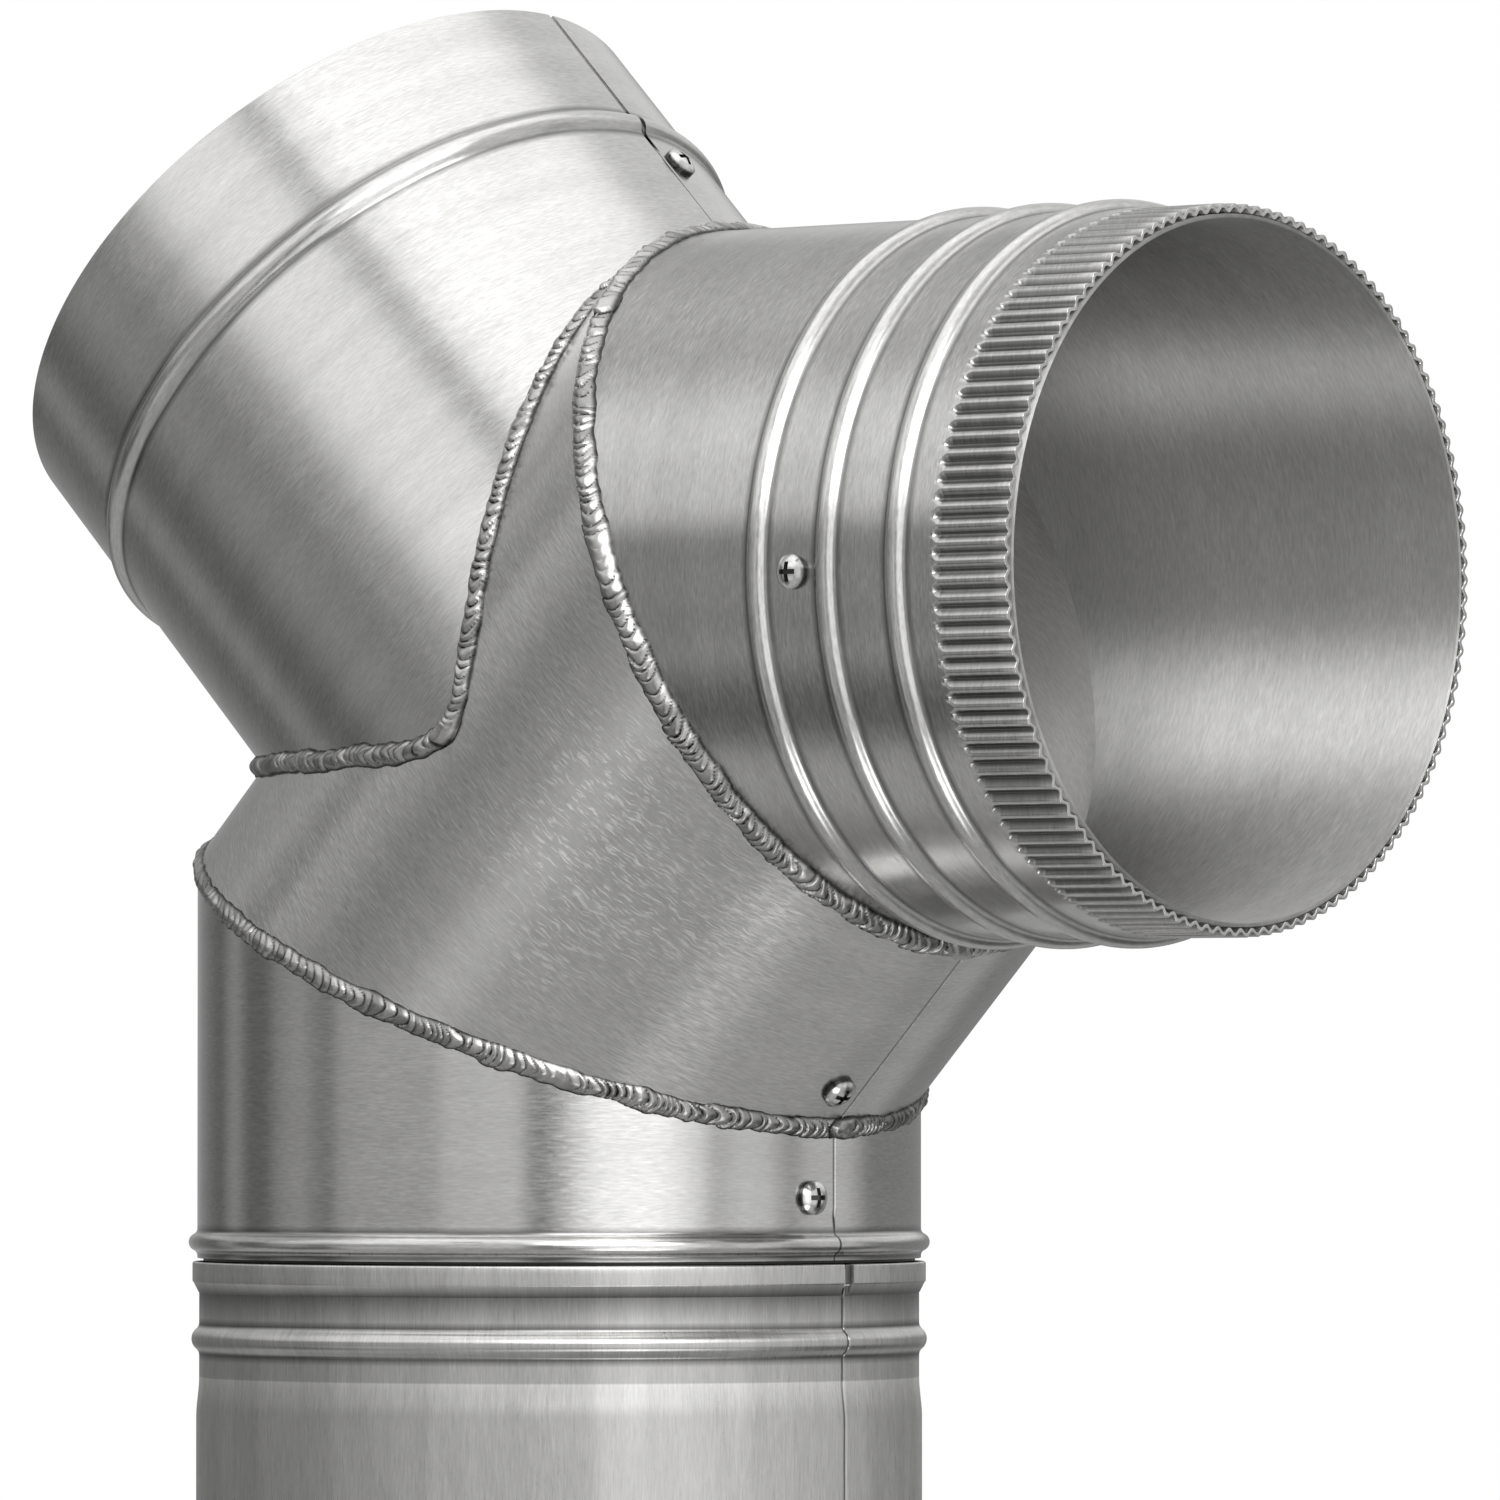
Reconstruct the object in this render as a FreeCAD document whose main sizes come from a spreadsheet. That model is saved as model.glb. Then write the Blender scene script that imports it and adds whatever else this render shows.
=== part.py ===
import FreeCAD, Part
import math
import os
import Sketcher

# Flue inspection elbow: a 90 degree elbow of nominal 150 mm pipe in two mitres, with an inspection
# branch on the back of its middle gore. Millimetres, Z up. The origin is the centre of the lower
# pipe's bottom edge, the outlet points along +X and the branch leans towards -X.

# Driving dimensions
driving_sizes = [
    ("body_diameter", 150, "outside of the bottom collar and the gore"),
    ("sheet", 1, "thickness of the rolled sheet"),
    ("gore_tilt", 45, "lean of the gore from upright, towards +X, in degrees"),
    ("outlet_tilt", 90, "lean of the outlet from upright, towards +X, in degrees"),
    ("branch_tilt", 45, "lean of the branch from upright, towards -X, in degrees"),
    ("collar_height", 58.5, "bottom edge of the collar to the middle of the lower mitre"),
    ("gore_length", 112.5, "between the middles of the two mitres"),
    ("outlet_length", 102.6, "middle of the upper mitre to the outlet's rim"),
    ("outlet_diameter", 146, "outside of the outlet collar, which enters a pipe"),
    ("branch_diameter", 149, "outside of the inspection branch"),
    ("branch_position", 60.4, "middle of the lower mitre to the branch's axis, along the gore"),
    ("branch_length", 149.5, "gore's axis to the branch's rim"),
    ("branch_bead_setback", 34, "branch's rim to the middle of its bead"),
    ("bead_foot_share", 0.4, "share of a bead's bend that its two hollow feet take"),
    ("collar_bead_rise", 3.3, "collar's edge to the middle of its bead"),
    ("collar_bead_width", 5.6, "width of the collar's bead"),
    ("collar_bead_height", 1.8, "how far the collar's bead stands out"),
    ("branch_bead_width", 7, "width of the branch's bead"),
    ("branch_bead_height", 1.6, "how far the branch's bead stands out"),
    ("outlet_bead_setback", 28, "outlet's rim to the middle of the nearest bead"),
    ("outlet_bead_pitch", 18, "from one outlet bead to the next"),
    ("outlet_bead_width", 6.4, "width of each outlet bead"),
    ("outlet_bead_height", 2, "how far each outlet bead stands out"),
    ("crimp_length", 18.5, "length of the fluted band at the outlet's rim"),
    ("crimp_depth", 1, "depth of each flute"),
    ("crimp_flutes", 126, "number of flutes around the rim"),
    ("flute_floor", 1.3, "width of a flute at its floor"),
    ("flute_mouth", 2.3, "width of a flute at its mouth"),
    ("sleeve_sheet", 0.8, "thickness of the smooth sleeve in the outlet"),
    ("sleeve_clearance", 0.1, "between the sleeve and the flutes' backs"),
    ("lower_pipe_length", 110, "bottom edge of the lower pipe to its shoulder"),
    ("lower_pipe_diameter", 150.4, "outside of the lower pipe's plain length"),
    ("spigot_length", 24, "lower pipe's spigot, inside the collar"),
    ("spigot_clearance", 0.25, "between the spigot and the collar's bore"),
    ("joint_gap", 0.7, "between the collar's edge and the lower pipe's shoulder"),
    ("shoulder_diameter", 152, "outside of the lower pipe's shoulder"),
    ("shoulder_height", 4.2, "height of the shoulder's band"),
    ("shoulder_slope", 2.1, "height of the slope under the shoulder's band"),
    ("recess_diameter", 149.2, "outside of the recess each side of the lower pipe's bead"),
    ("pipe_bead_setback", 16, "shoulder to the middle of the lower pipe's bead"),
    ("pipe_bead_width", 6.8, "width of the lower pipe's bead"),
    ("pipe_bead_height", 1.6, "how far the lower pipe's bead stands out of its recess"),
    ("recess_end", 24, "shoulder to the lower end of the recess"),
    ("swell_length", 8, "over which the recess swells to the plain length"),
    ("weld_radius", 2.3, "radius of the weld round the lower mitre and the branch"),
    ("outlet_weld_radius", 2.8, "radius of the weld that bridges the step to the outlet"),
    ("weld_ripple", 0.35, "height of the ripples along a weld"),
    ("weld_ripple_pitch", 6, "length of one ripple along a weld"),
    ("seam_width", 0.6, "width of the line along each seam"),
    ("seam_depth", 0.35, "depth of the line along each seam"),
    ("socket_seam_gap", 1, "opening of the branch's seam beyond its bead"),
    ("collar_seam_angle", 0.3, "collar's seam, from the throat, in degrees"),
    ("pipe_seam_angle", 2.8, "lower pipe's seam, from the throat, in degrees"),
    ("gore_seam_angle", 0.5, "gore's seam, from the throat, in degrees"),
    ("branch_seam_angle", 7, "branch's seam, from its outlet side, in degrees"),
    ("screw_diameter", 3.5, "shank of the pan-head screws"),
    ("screw_head_diameter", 7, "head of the pan-head screws"),
    ("screw_head_height", 2.4, "height of the head"),
    ("screw_head_edge", 1.1, "height of the head's straight edge"),
    ("screw_length", 6.5, "length under the head, with the point"),
    ("screw_point", 2, "length of the point"),
    ("screw_recess_width", 1, "width of each arm of the cross recess"),
    ("screw_recess_span", 4, "span of the cross recess"),
    ("screw_recess_depth", 1.2, "depth of the cross recess"),
    ("screw_hole_clearance", 0.15, "between a shank and the hole it passes through"),
    ("collar_screw_rise", 12.9, "collar's edge to its screw"),
    ("collar_screw_angle", -4.9, "collar's screw, from the throat, in degrees"),
    ("gore_screw_rise", 41, "middle of the lower mitre to the gore's screw, along the gore"),
    ("gore_screw_angle", -4.8, "gore's screw, from the throat, in degrees"),
    ("outlet_screw_setback", 54.4, "outlet's rim to its screw"),
    ("outlet_screw_angle", -89.2, "outlet's screw, from its underside, in degrees"),
    ("branch_screw_rise", 104.3, "gore's axis to the branch's screw, along the branch"),
    ("branch_screw_angle", 10.8, "branch's screw, from its outlet side, in degrees"),
]

doc = FreeCAD.newDocument("FlueInspectionElbow")
sheet = doc.addObject("Spreadsheet::Sheet", "Sizes")
for row, (alias, value, meaning) in enumerate(driving_sizes, start=1):
    sheet.set(f"A{row}", alias)
    sheet.set(f"B{row}", str(value))
    sheet.set(f"C{row}", meaning)
    sheet.setAlias(f"B{row}", alias)
doc.recompute()

# Expressions that several pieces share
body_radius = "Sizes.body_diameter / 2"
outlet_radius = "Sizes.outlet_diameter / 2"
branch_radius = "Sizes.branch_diameter / 2"
lower_mitre = "Sizes.gore_tilt / 2"
upper_mitre = "(Sizes.outlet_tilt - Sizes.gore_tilt) / 2"
overshoot = "Sizes.body_diameter"
collar_edge = "Sizes.lower_pipe_length + Sizes.joint_gap"
lower_mitre_rise = f"({collar_edge} + Sizes.collar_height)"


def number(expression):
    """Value of an expression over the sheet, as a plain number."""
    value = sheet.evalExpression(expression)
    return float(getattr(value, "Value", value))


def along_gore(distance):
    """Centre of a point on the gore's axis, at a distance from the lower mitre."""
    return (
        f"vector({distance} * sin(Sizes.gore_tilt); 0; "
        f"{lower_mitre_rise} + {distance} * cos(Sizes.gore_tilt))"
    )


def leaning(centre, tilt):
    """Placement of a tube whose axis leans from upright towards +X."""
    return f"placement({centre}; rotation(vector(0; 1; 0); {tilt}))"


no_turn = "rotation(vector(0; 0; 1); 0)"
pipe_frame = f"placement(vector(0; 0; 0); {no_turn})"
collar_frame = f"placement(vector(0; 0; {collar_edge}); {no_turn})"
gore_frame = leaning(along_gore("0"), "Sizes.gore_tilt")
outlet_frame = leaning(along_gore("Sizes.gore_length"), "Sizes.outlet_tilt")
branch_frame = leaning(along_gore("Sizes.branch_position"), "-Sizes.branch_tilt")


def on_wall(frame, angle, rise, radius):
    """Placement on a tube's wall, with Z pointing out of the wall."""
    turned = f"placement(vector(0; 0; {rise}); rotation(vector(0; 0; 1); {angle}))"
    outward = f"placement(vector({radius}; 0; 0); rotation(vector(0; 1; 0); 90))"
    return f"{frame} * {turned} * {outward}"


# Sketches
same_point = 1e-6


def attach(sketch, body, plane):
    support = next(f for f in body.Origin.OriginFeatures if f.Role == plane)
    sketch.AttachmentSupport = [(support, "")]
    sketch.MapMode = "FlatFace"


def constrain(sketch, kind, expression, *geometry):
    """Constraint of a sketch whose value is an expression."""
    key = sketch.addConstraint(Sketcher.Constraint(kind, *geometry, number(expression)))
    sketch.setExpression(f"Constraints[{key}]", expression)


class Outline:
    """A closed outline of lines and arcs, each point given by two expressions."""

    def __init__(self, body, name, plane):
        self.sketch = body.newObject("Sketcher::SketchObject", name)
        attach(self.sketch, body, plane)
        self.points = []
        self.bends = []

    def to(self, across, up, radius=None, bulge=0):
        """Adds a point, reached by a line or by an arc that bulges to its left (1) or right (-1)."""
        self.points.append((across, up))
        self.bends.append((radius, bulge))
        return self

    def edge(self, first, second, radius, bulge):
        if radius is None:
            return Part.LineSegment(first, second)
        chord = second - first
        middle = (first + second) * 0.5
        side = FreeCAD.Vector(-chord.y, chord.x, 0).normalize() * bulge
        rise = radius - math.sqrt(radius**2 - chord.Length**2 / 4)
        return Part.Arc(first, middle + side * rise, second)

    def close(self):
        places = [FreeCAD.Vector(number(a), number(u), 0) for a, u in self.points]
        ends = []
        for index, place in enumerate(places):
            radius, bulge = self.bends[index]
            radius_value = None if radius is None else number(radius)
            before = places[index - 1]
            item = self.sketch.addGeometry(self.edge(before, place, radius_value, bulge))
            forward = self.sketch.getPoint(item, 1).distanceToPoint(before) < same_point
            ends.append((item, 1, 2) if forward else (item, 2, 1))
        for index, (item, start, end) in enumerate(ends):
            next_item, next_start, _ = ends[(index + 1) % len(ends)]
            joint = Sketcher.Constraint("Coincident", item, end, next_item, next_start)
            self.sketch.addConstraint(joint)
            constrain(self.sketch, "DistanceX", self.points[index][0], -1, 1, item, end)
            constrain(self.sketch, "DistanceY", self.points[index][1], -1, 1, item, end)
            if self.bends[index][0] is not None:
                constrain(self.sketch, "Radius", self.bends[index][0], item)
        return self.sketch


def add_bead(outline, radius, middle, width, height, inset, step):
    """Rolled bead along an outline: two hollow arcs at its feet and a round crest between them.

    step is 1 where the outline runs up the tube and -1 where it comes back down inside.
    """
    lean = f"(2 * atan(2 * {height} / {width}))"
    arc_sum = f"({width} / 2 / sin({lean}))"
    foot = f"({arc_sum} * Sizes.bead_foot_share)"
    crest = f"({arc_sum} * (1 - Sizes.bead_foot_share))"
    foot_arc = f"({foot} + {inset})"
    crest_arc = f"({crest} - {inset})"
    join_radius = f"{radius} + {foot} - {foot_arc} * cos({lean})"
    join_offset = f"({width} / 2 - {foot_arc} * sin({lean}))"
    first, last = ("-", "+") if step == 1 else ("+", "-")
    foot_radius = f"{radius} - {inset}"
    outline.to(foot_radius, f"{middle} {first} {width} / 2")
    outline.to(join_radius, f"{middle} {first} {join_offset}", foot_arc, step)
    outline.to(join_radius, f"{middle} {last} {join_offset}", crest_arc, -step)
    outline.to(foot_radius, f"{middle} {last} {width} / 2", foot_arc, step)


def new_body(name, frame):
    body = doc.addObject("PartDesign::Body", name)
    body.setExpression("Placement", frame)
    return body


def revolve(body, sketch):
    solid = body.newObject("PartDesign::Revolution", f"{sketch.Name}Turned")
    solid.Profile = sketch
    solid.ReferenceAxis = (sketch, ["V_Axis"])
    solid.Angle = 360
    doc.recompute()
    return solid


def mitre(body, name, middle, slope, keep_above):
    """Cuts a tube along a tilted plane through a point on its axis."""
    outline = Outline(body, name, "XZ_Plane")
    fall = f"{overshoot} * tan({slope})"
    side = -1 if keep_above else 1
    far = f"{middle} {'-' if keep_above else '+'} 2 * {overshoot}"
    outline.to(f"-{overshoot}", f"{middle} + {side} * {fall}")
    outline.to(overshoot, f"{middle} - {side} * {fall}")
    outline.to(overshoot, far)
    outline.to(f"-{overshoot}", far)
    pocket = body.newObject("PartDesign::Pocket", f"{name}Cut")
    pocket.Profile = outline.close()
    pocket.SideType = "Symmetric"
    pocket.setExpression("Length", f"2 * {overshoot}")
    doc.recompute()
    return pocket


def cut(label, base, *tools):
    """A piece as its base solid less each tool in turn."""
    result = base
    for tool in tools:
        removed = doc.addObject("Part::Cut", f"{tool.Name}From{base.Name}")
        removed.Base = result
        removed.Tool = tool
        result = removed
    result.Label = label
    return result


def cylinder(name, frame, radius, height):
    tube = doc.addObject("Part::Cylinder", name)
    tube.setExpression("Radius", radius)
    tube.setExpression("Height", height)
    tube.setExpression("Placement", frame)
    return tube


def seam_line(name, frame, angle, radius, start, length, width, depth):
    """Box that cuts a line of a given width and depth along a tube's wall."""
    line = doc.addObject("Part::Box", name)
    line.setExpression("Length", f"{depth} + Sizes.sheet")
    line.setExpression("Width", width)
    line.setExpression("Height", length)
    turned = f"placement(vector(0; 0; {start}); rotation(vector(0; 0; 1); {angle}))"
    shifted = f"placement(vector({radius} - {depth}; -{width} / 2; 0); {no_turn})"
    line.setExpression("Placement", f"{frame} * {turned} * {shifted}")
    return line


# Lower pipe
def make_lower_pipe():
    body = new_body("LowerPipeTube", pipe_frame)
    outline = Outline(body, "LowerPipeProfile", "XZ_Plane")
    plain = "Sizes.lower_pipe_diameter / 2"
    recess = "Sizes.recess_diameter / 2"
    shoulder = "Sizes.shoulder_diameter / 2"
    spigot = f"{body_radius} - Sizes.sheet - Sizes.spigot_clearance"
    top = "Sizes.lower_pipe_length"
    bead = f"{top} - Sizes.pipe_bead_setback"
    band_foot = f"{top} - Sizes.shoulder_height"
    slope_foot = f"{band_foot} - Sizes.shoulder_slope"
    recess_foot = f"{top} - Sizes.recess_end"
    swell_foot = f"{recess_foot} - Sizes.swell_length"
    spigot_top = f"{top} + Sizes.spigot_length"
    bead_size = ("Sizes.pipe_bead_width", "Sizes.pipe_bead_height")
    outline.to(plain, "0")
    outline.to(plain, swell_foot)
    outline.to(recess, recess_foot)
    add_bead(outline, recess, bead, *bead_size, "0", 1)
    outline.to(recess, slope_foot)
    outline.to(shoulder, band_foot)
    outline.to(shoulder, top)
    outline.to(spigot, top)
    outline.to(spigot, spigot_top)
    outline.to(f"{spigot} - Sizes.sheet", spigot_top)
    outline.to(f"{spigot} - Sizes.sheet", f"{top} - Sizes.sheet")
    outline.to(f"{shoulder} - Sizes.sheet", f"{top} - Sizes.sheet")
    outline.to(f"{shoulder} - Sizes.sheet", band_foot)
    outline.to(f"{recess} - Sizes.sheet", slope_foot)
    add_bead(outline, recess, bead, *bead_size, "Sizes.sheet", -1)
    outline.to(f"{recess} - Sizes.sheet", recess_foot)
    outline.to(f"{plain} - Sizes.sheet", swell_foot)
    outline.to(f"{plain} - Sizes.sheet", "0")
    revolve(body, outline.close())
    seam = seam_line("LowerPipeSeam", pipe_frame, "Sizes.pipe_seam_angle", plain, "0", swell_foot,
                     "Sizes.seam_width", "Sizes.seam_depth")
    return cut("lower_pipe", body, seam, collar_screw_hole())


# Bottom collar
def make_bottom_collar():
    body = new_body("BottomCollarTube", collar_frame)
    outline = Outline(body, "BottomCollarProfile", "XZ_Plane")
    bead_size = ("Sizes.collar_bead_width", "Sizes.collar_bead_height")
    top = f"Sizes.collar_height + {body_radius} * tan({lower_mitre}) + Sizes.sheet"
    outline.to(body_radius, "0")
    add_bead(outline, body_radius, "Sizes.collar_bead_rise", *bead_size, "0", 1)
    outline.to(body_radius, top)
    outline.to(f"{body_radius} - Sizes.sheet", top)
    add_bead(outline, body_radius, "Sizes.collar_bead_rise", *bead_size, "Sizes.sheet", -1)
    outline.to(f"{body_radius} - Sizes.sheet", "0")
    revolve(body, outline.close())
    mitre(body, "BottomCollarMitre", "Sizes.collar_height", lower_mitre, False)
    seam_foot = "Sizes.collar_bead_rise + Sizes.collar_bead_width / 2"
    seam = seam_line("BottomCollarSeam", collar_frame, "Sizes.collar_seam_angle", body_radius,
                     seam_foot, "Sizes.collar_height", "Sizes.seam_width", "Sizes.seam_depth")
    return cut("bottom_collar", body, seam, collar_screw_hole())


# Middle gore
def make_middle_gore():
    body = new_body("MiddleGoreTube", gore_frame)
    outline = Outline(body, "MiddleGoreProfile", "XZ_Plane")
    foot = f"-{body_radius} * tan({lower_mitre}) - Sizes.sheet"
    top = f"Sizes.gore_length + {body_radius} * tan({upper_mitre}) + Sizes.sheet"
    outline.to(body_radius, foot)
    outline.to(body_radius, top)
    outline.to(f"{body_radius} - Sizes.sheet", top)
    outline.to(f"{body_radius} - Sizes.sheet", foot)
    revolve(body, outline.close())
    mitre(body, "MiddleGoreFoot", "0", lower_mitre, True)
    mitre(body, "MiddleGoreTop", "Sizes.gore_length", upper_mitre, False)
    opening = cylinder("InspectionOpening", branch_frame, f"{branch_radius} - Sizes.sheet",
                       "Sizes.branch_length")
    seam = seam_line("MiddleGoreSeam", gore_frame, "Sizes.gore_seam_angle", body_radius, "0",
                     "Sizes.gore_length", "Sizes.seam_width", "Sizes.seam_depth")
    return cut("middle_gore", body, opening, seam, gore_screw_hole())


# Outlet collar with its three beads and fluted rim
def make_outlet_collar():
    body = new_body("OutletCollarTube", outlet_frame)
    outline = Outline(body, "OutletCollarProfile", "XZ_Plane")
    foot = f"-{outlet_radius} * tan({upper_mitre}) - Sizes.sheet"
    crimp_foot = "Sizes.outlet_length - Sizes.crimp_length"
    inner = f"{outlet_radius} - Sizes.sheet"
    bead_size = ("Sizes.outlet_bead_width", "Sizes.outlet_bead_height")
    nearest = "Sizes.outlet_length - Sizes.outlet_bead_setback"
    beads = [f"{nearest} - {count} * Sizes.outlet_bead_pitch" for count in (2, 1, 0)]
    outline.to(outlet_radius, foot)
    for bead in beads:
        add_bead(outline, outlet_radius, bead, *bead_size, "0", 1)
    outline.to(outlet_radius, crimp_foot)
    outline.to(inner, crimp_foot)
    for bead in reversed(beads):
        add_bead(outline, outlet_radius, bead, *bead_size, "Sizes.sheet", -1)
    outline.to(inner, foot)
    revolve(body, outline.close())
    mitre(body, "OutletCollarMitre", "0", upper_mitre, True)
    plain = cut("Outlet collar without its rim", body, outlet_screw_hole())
    whole = doc.addObject("Part::Fuse", "OutletCollar")
    whole.Base = plain
    whole.Tool = make_crimped_rim()
    whole.Label = "outlet_collar"
    return whole


def make_crimped_rim():
    """Band as deep as the sheet and a flute, with flutes cut into both of its sides."""
    crimp_foot = "Sizes.outlet_length - Sizes.crimp_length"
    body = new_body("CrimpedRim", f"{outlet_frame} * placement(vector(0; 0; {crimp_foot}); {no_turn})")
    outline = Outline(body, "CrimpedRimProfile", "XZ_Plane")
    inner = f"{outlet_radius} - Sizes.sheet - Sizes.crimp_depth"
    outline.to(outlet_radius, "0")
    outline.to(outlet_radius, "Sizes.crimp_length")
    outline.to(inner, "Sizes.crimp_length")
    outline.to(inner, "0")
    revolve(body, outline.close())
    # outside, the flutes' floors lie a flute's depth in; inside, they lie a sheet in
    add_flutes(body, "OuterFlute", "0", f"({outlet_radius} - Sizes.crimp_depth)", "+")
    add_flutes(body, "InnerFlute", "180 / Sizes.crimp_flutes", f"({outlet_radius} - Sizes.sheet)", "-")
    return body


def add_flutes(body, name, turn, floor, opening):
    """Ring of flutes, each a trapezoid that widens from its floor to its mouth."""
    mouth = f"({floor} {opening} 2 * Sizes.crimp_depth)"
    floor_half = "Sizes.flute_floor / 2"
    mouth_half = "(Sizes.flute_mouth - Sizes.flute_floor / 2)"
    outline = Outline(body, f"{name}Profile", "XY_Plane")
    corners = [(floor, f"-{floor_half}"), (mouth, f"-{mouth_half}"), (mouth, mouth_half), (floor, floor_half)]
    for across, up in corners:
        outline.to(f"{across} * cos({turn}) - ({up}) * sin({turn})",
                   f"{across} * sin({turn}) + ({up}) * cos({turn})")
    before = body.Tip.Shape.Volume
    flute = body.newObject("PartDesign::Pocket", name)
    flute.Profile = outline.close()
    flute.Reversed = True
    flute.setExpression("Length", "Sizes.crimp_length")
    doc.recompute()
    if not flute.Shape.Volume < before:
        raise RuntimeError(f"{name} cuts nothing")
    ring = body.newObject("PartDesign::PolarPattern", f"{name}Ring")
    ring.Originals = [flute]
    ring.Axis = (flute.Profile[0], ["N_Axis"])
    ring.Angle = 360
    ring.setExpression("Occurrences", "Sizes.crimp_flutes")
    body.Tip = ring
    doc.recompute()


# Smooth sleeve inside the outlet
def make_outlet_sleeve():
    body = new_body("OutletSleeveTube", outlet_frame)
    outline = Outline(body, "OutletSleeveProfile", "XZ_Plane")
    outer = f"{outlet_radius} - Sizes.sheet - Sizes.crimp_depth - Sizes.sleeve_clearance"
    foot = f"-{outlet_radius} * tan({upper_mitre}) - Sizes.sheet"
    outline.to(outer, foot)
    outline.to(outer, "Sizes.outlet_length")
    outline.to(f"{outer} - Sizes.sleeve_sheet", "Sizes.outlet_length")
    outline.to(f"{outer} - Sizes.sleeve_sheet", foot)
    revolve(body, outline.close())
    mitre(body, "OutletSleeveMitre", "0", upper_mitre, True)
    return cut("outlet_sleeve", body, outlet_screw_hole())


# Inspection branch
def make_inspection_branch():
    body = new_body("InspectionBranchTube", branch_frame)
    outline = Outline(body, "InspectionBranchProfile", "XZ_Plane")
    bead = "Sizes.branch_length - Sizes.branch_bead_setback"
    bead_size = ("Sizes.branch_bead_width", "Sizes.branch_bead_height")
    rim = "Sizes.branch_length"
    outline.to(branch_radius, "0")
    add_bead(outline, branch_radius, bead, *bead_size, "0", 1)
    outline.to(branch_radius, rim)
    outline.to(f"{branch_radius} - Sizes.sheet", rim)
    add_bead(outline, branch_radius, bead, *bead_size, "Sizes.sheet", -1)
    outline.to(f"{branch_radius} - Sizes.sheet", "0")
    revolve(body, outline.close())
    saddle = cylinder("BranchSaddle", leaning(along_gore("-Sizes.gore_length"), "Sizes.gore_tilt"),
                      body_radius, "3 * Sizes.gore_length")
    bead_top = f"{bead} + Sizes.branch_bead_width / 2"
    bead_foot = f"{bead} - Sizes.branch_bead_width / 2"
    seam = seam_line("BranchSeam", branch_frame, "Sizes.branch_seam_angle", branch_radius, "0",
                     bead_foot, "Sizes.seam_width", "Sizes.seam_depth")
    open_seam = seam_line("BranchSocketSeam", branch_frame, "Sizes.branch_seam_angle", branch_radius,
                          bead_top, rim, "Sizes.socket_seam_gap", "2 * Sizes.sheet")
    return cut("inspection_branch", body, saddle, seam, open_seam, branch_screw_hole())


# Welds
weld_sides = 6
stations_per_ripple = 2
length_steps = 360
look_ahead = 0.0005


def weld_ring(label, path, weld_radius, filled):
    """Rippled bead of weld along a closed path, less the filled tubes that it lies on.

    path gives, for a share of the way round, the point and the outward normals of both tubes.
    """
    shares = [step / length_steps for step in range(length_steps + 1)]
    length = sum((path(a)[0] - path(b)[0]).Length for a, b in zip(shares, shares[1:]))
    ripples = round(length / number("Sizes.weld_ripple_pitch"))
    stations = stations_per_ripple * ripples
    rings = []
    for index in range(stations):
        share = index / stations
        point, first_normal, second_normal = path(share)
        ahead = path(share + look_ahead)[0] - path(share - look_ahead)[0]
        ahead.normalize()
        outward = first_normal + second_normal
        outward = (outward - ahead * outward.dot(ahead)).normalize()
        across = ahead.cross(outward)
        size = weld_radius - (index % stations_per_ripple) * number("Sizes.weld_ripple")
        corners = []
        for side in range(weld_sides):
            angle = 2 * math.pi * (side + 0.5) / weld_sides
            corners.append(point + (outward * math.cos(angle) + across * math.sin(angle)) * size)
        rings.append(corners)
    faces = []
    for index in range(stations):
        near, far = rings[index], rings[(index + 1) % stations]
        for side in range(weld_sides):
            after = (side + 1) % weld_sides
            for corners in ((near[side], near[after], far[side]), (near[after], far[after], far[side])):
                faces.append(Part.Face(Part.makePolygon([*corners, corners[0]])))
    ring = Part.makeSolid(Part.makeShell(faces))
    if ring.Volume < 0:
        ring.reverse()
    for solid in filled:
        ring = ring.cut(solid)
    bead = doc.addObject("Part::Feature", label.title().replace("_", ""))
    bead.Shape = ring
    bead.Label = label
    bead.Placement = FreeCAD.Placement()
    return bead


def direction(tilt):
    angle = math.radians(tilt)
    return FreeCAD.Vector(math.sin(angle), 0, math.cos(angle))


def mitre_weld(label, centre, tilts, tube_radii, path_radius, weld_radius):
    """Weld round the mitre between two tubes that meet at a centre."""
    below, above = (direction(tilt) for tilt in tilts)
    plane_normal = (below + above).normalize()
    sideways = FreeCAD.Vector(0, 1, 0)
    long_way = sideways.cross(plane_normal)
    half_turn = math.radians(tilts[1] - tilts[0]) / 2

    def path(share):
        angle = 2 * math.pi * share
        offset = sideways * (path_radius * math.sin(angle))
        offset += long_way * (path_radius / math.cos(half_turn) * math.cos(angle))
        normals = [(offset - axis * offset.dot(axis)).normalize() for axis in (below, above)]
        return centre + offset, *normals

    reach = 2 * number(overshoot)
    half_space = Part.makeBox(2 * reach, 2 * reach, reach, FreeCAD.Vector(-reach, -reach, 0))
    turn = FreeCAD.Rotation(FreeCAD.Vector(0, 0, 1), plane_normal)
    half_space.Placement = FreeCAD.Placement(centre, turn)
    lower = Part.makeCylinder(tube_radii[0], reach, centre - below * (reach / 2), below).cut(half_space)
    upper = Part.makeCylinder(tube_radii[1], reach, centre - above * (reach / 2), above).common(half_space)
    return weld_ring(label, path, weld_radius, [lower, upper])


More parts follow.
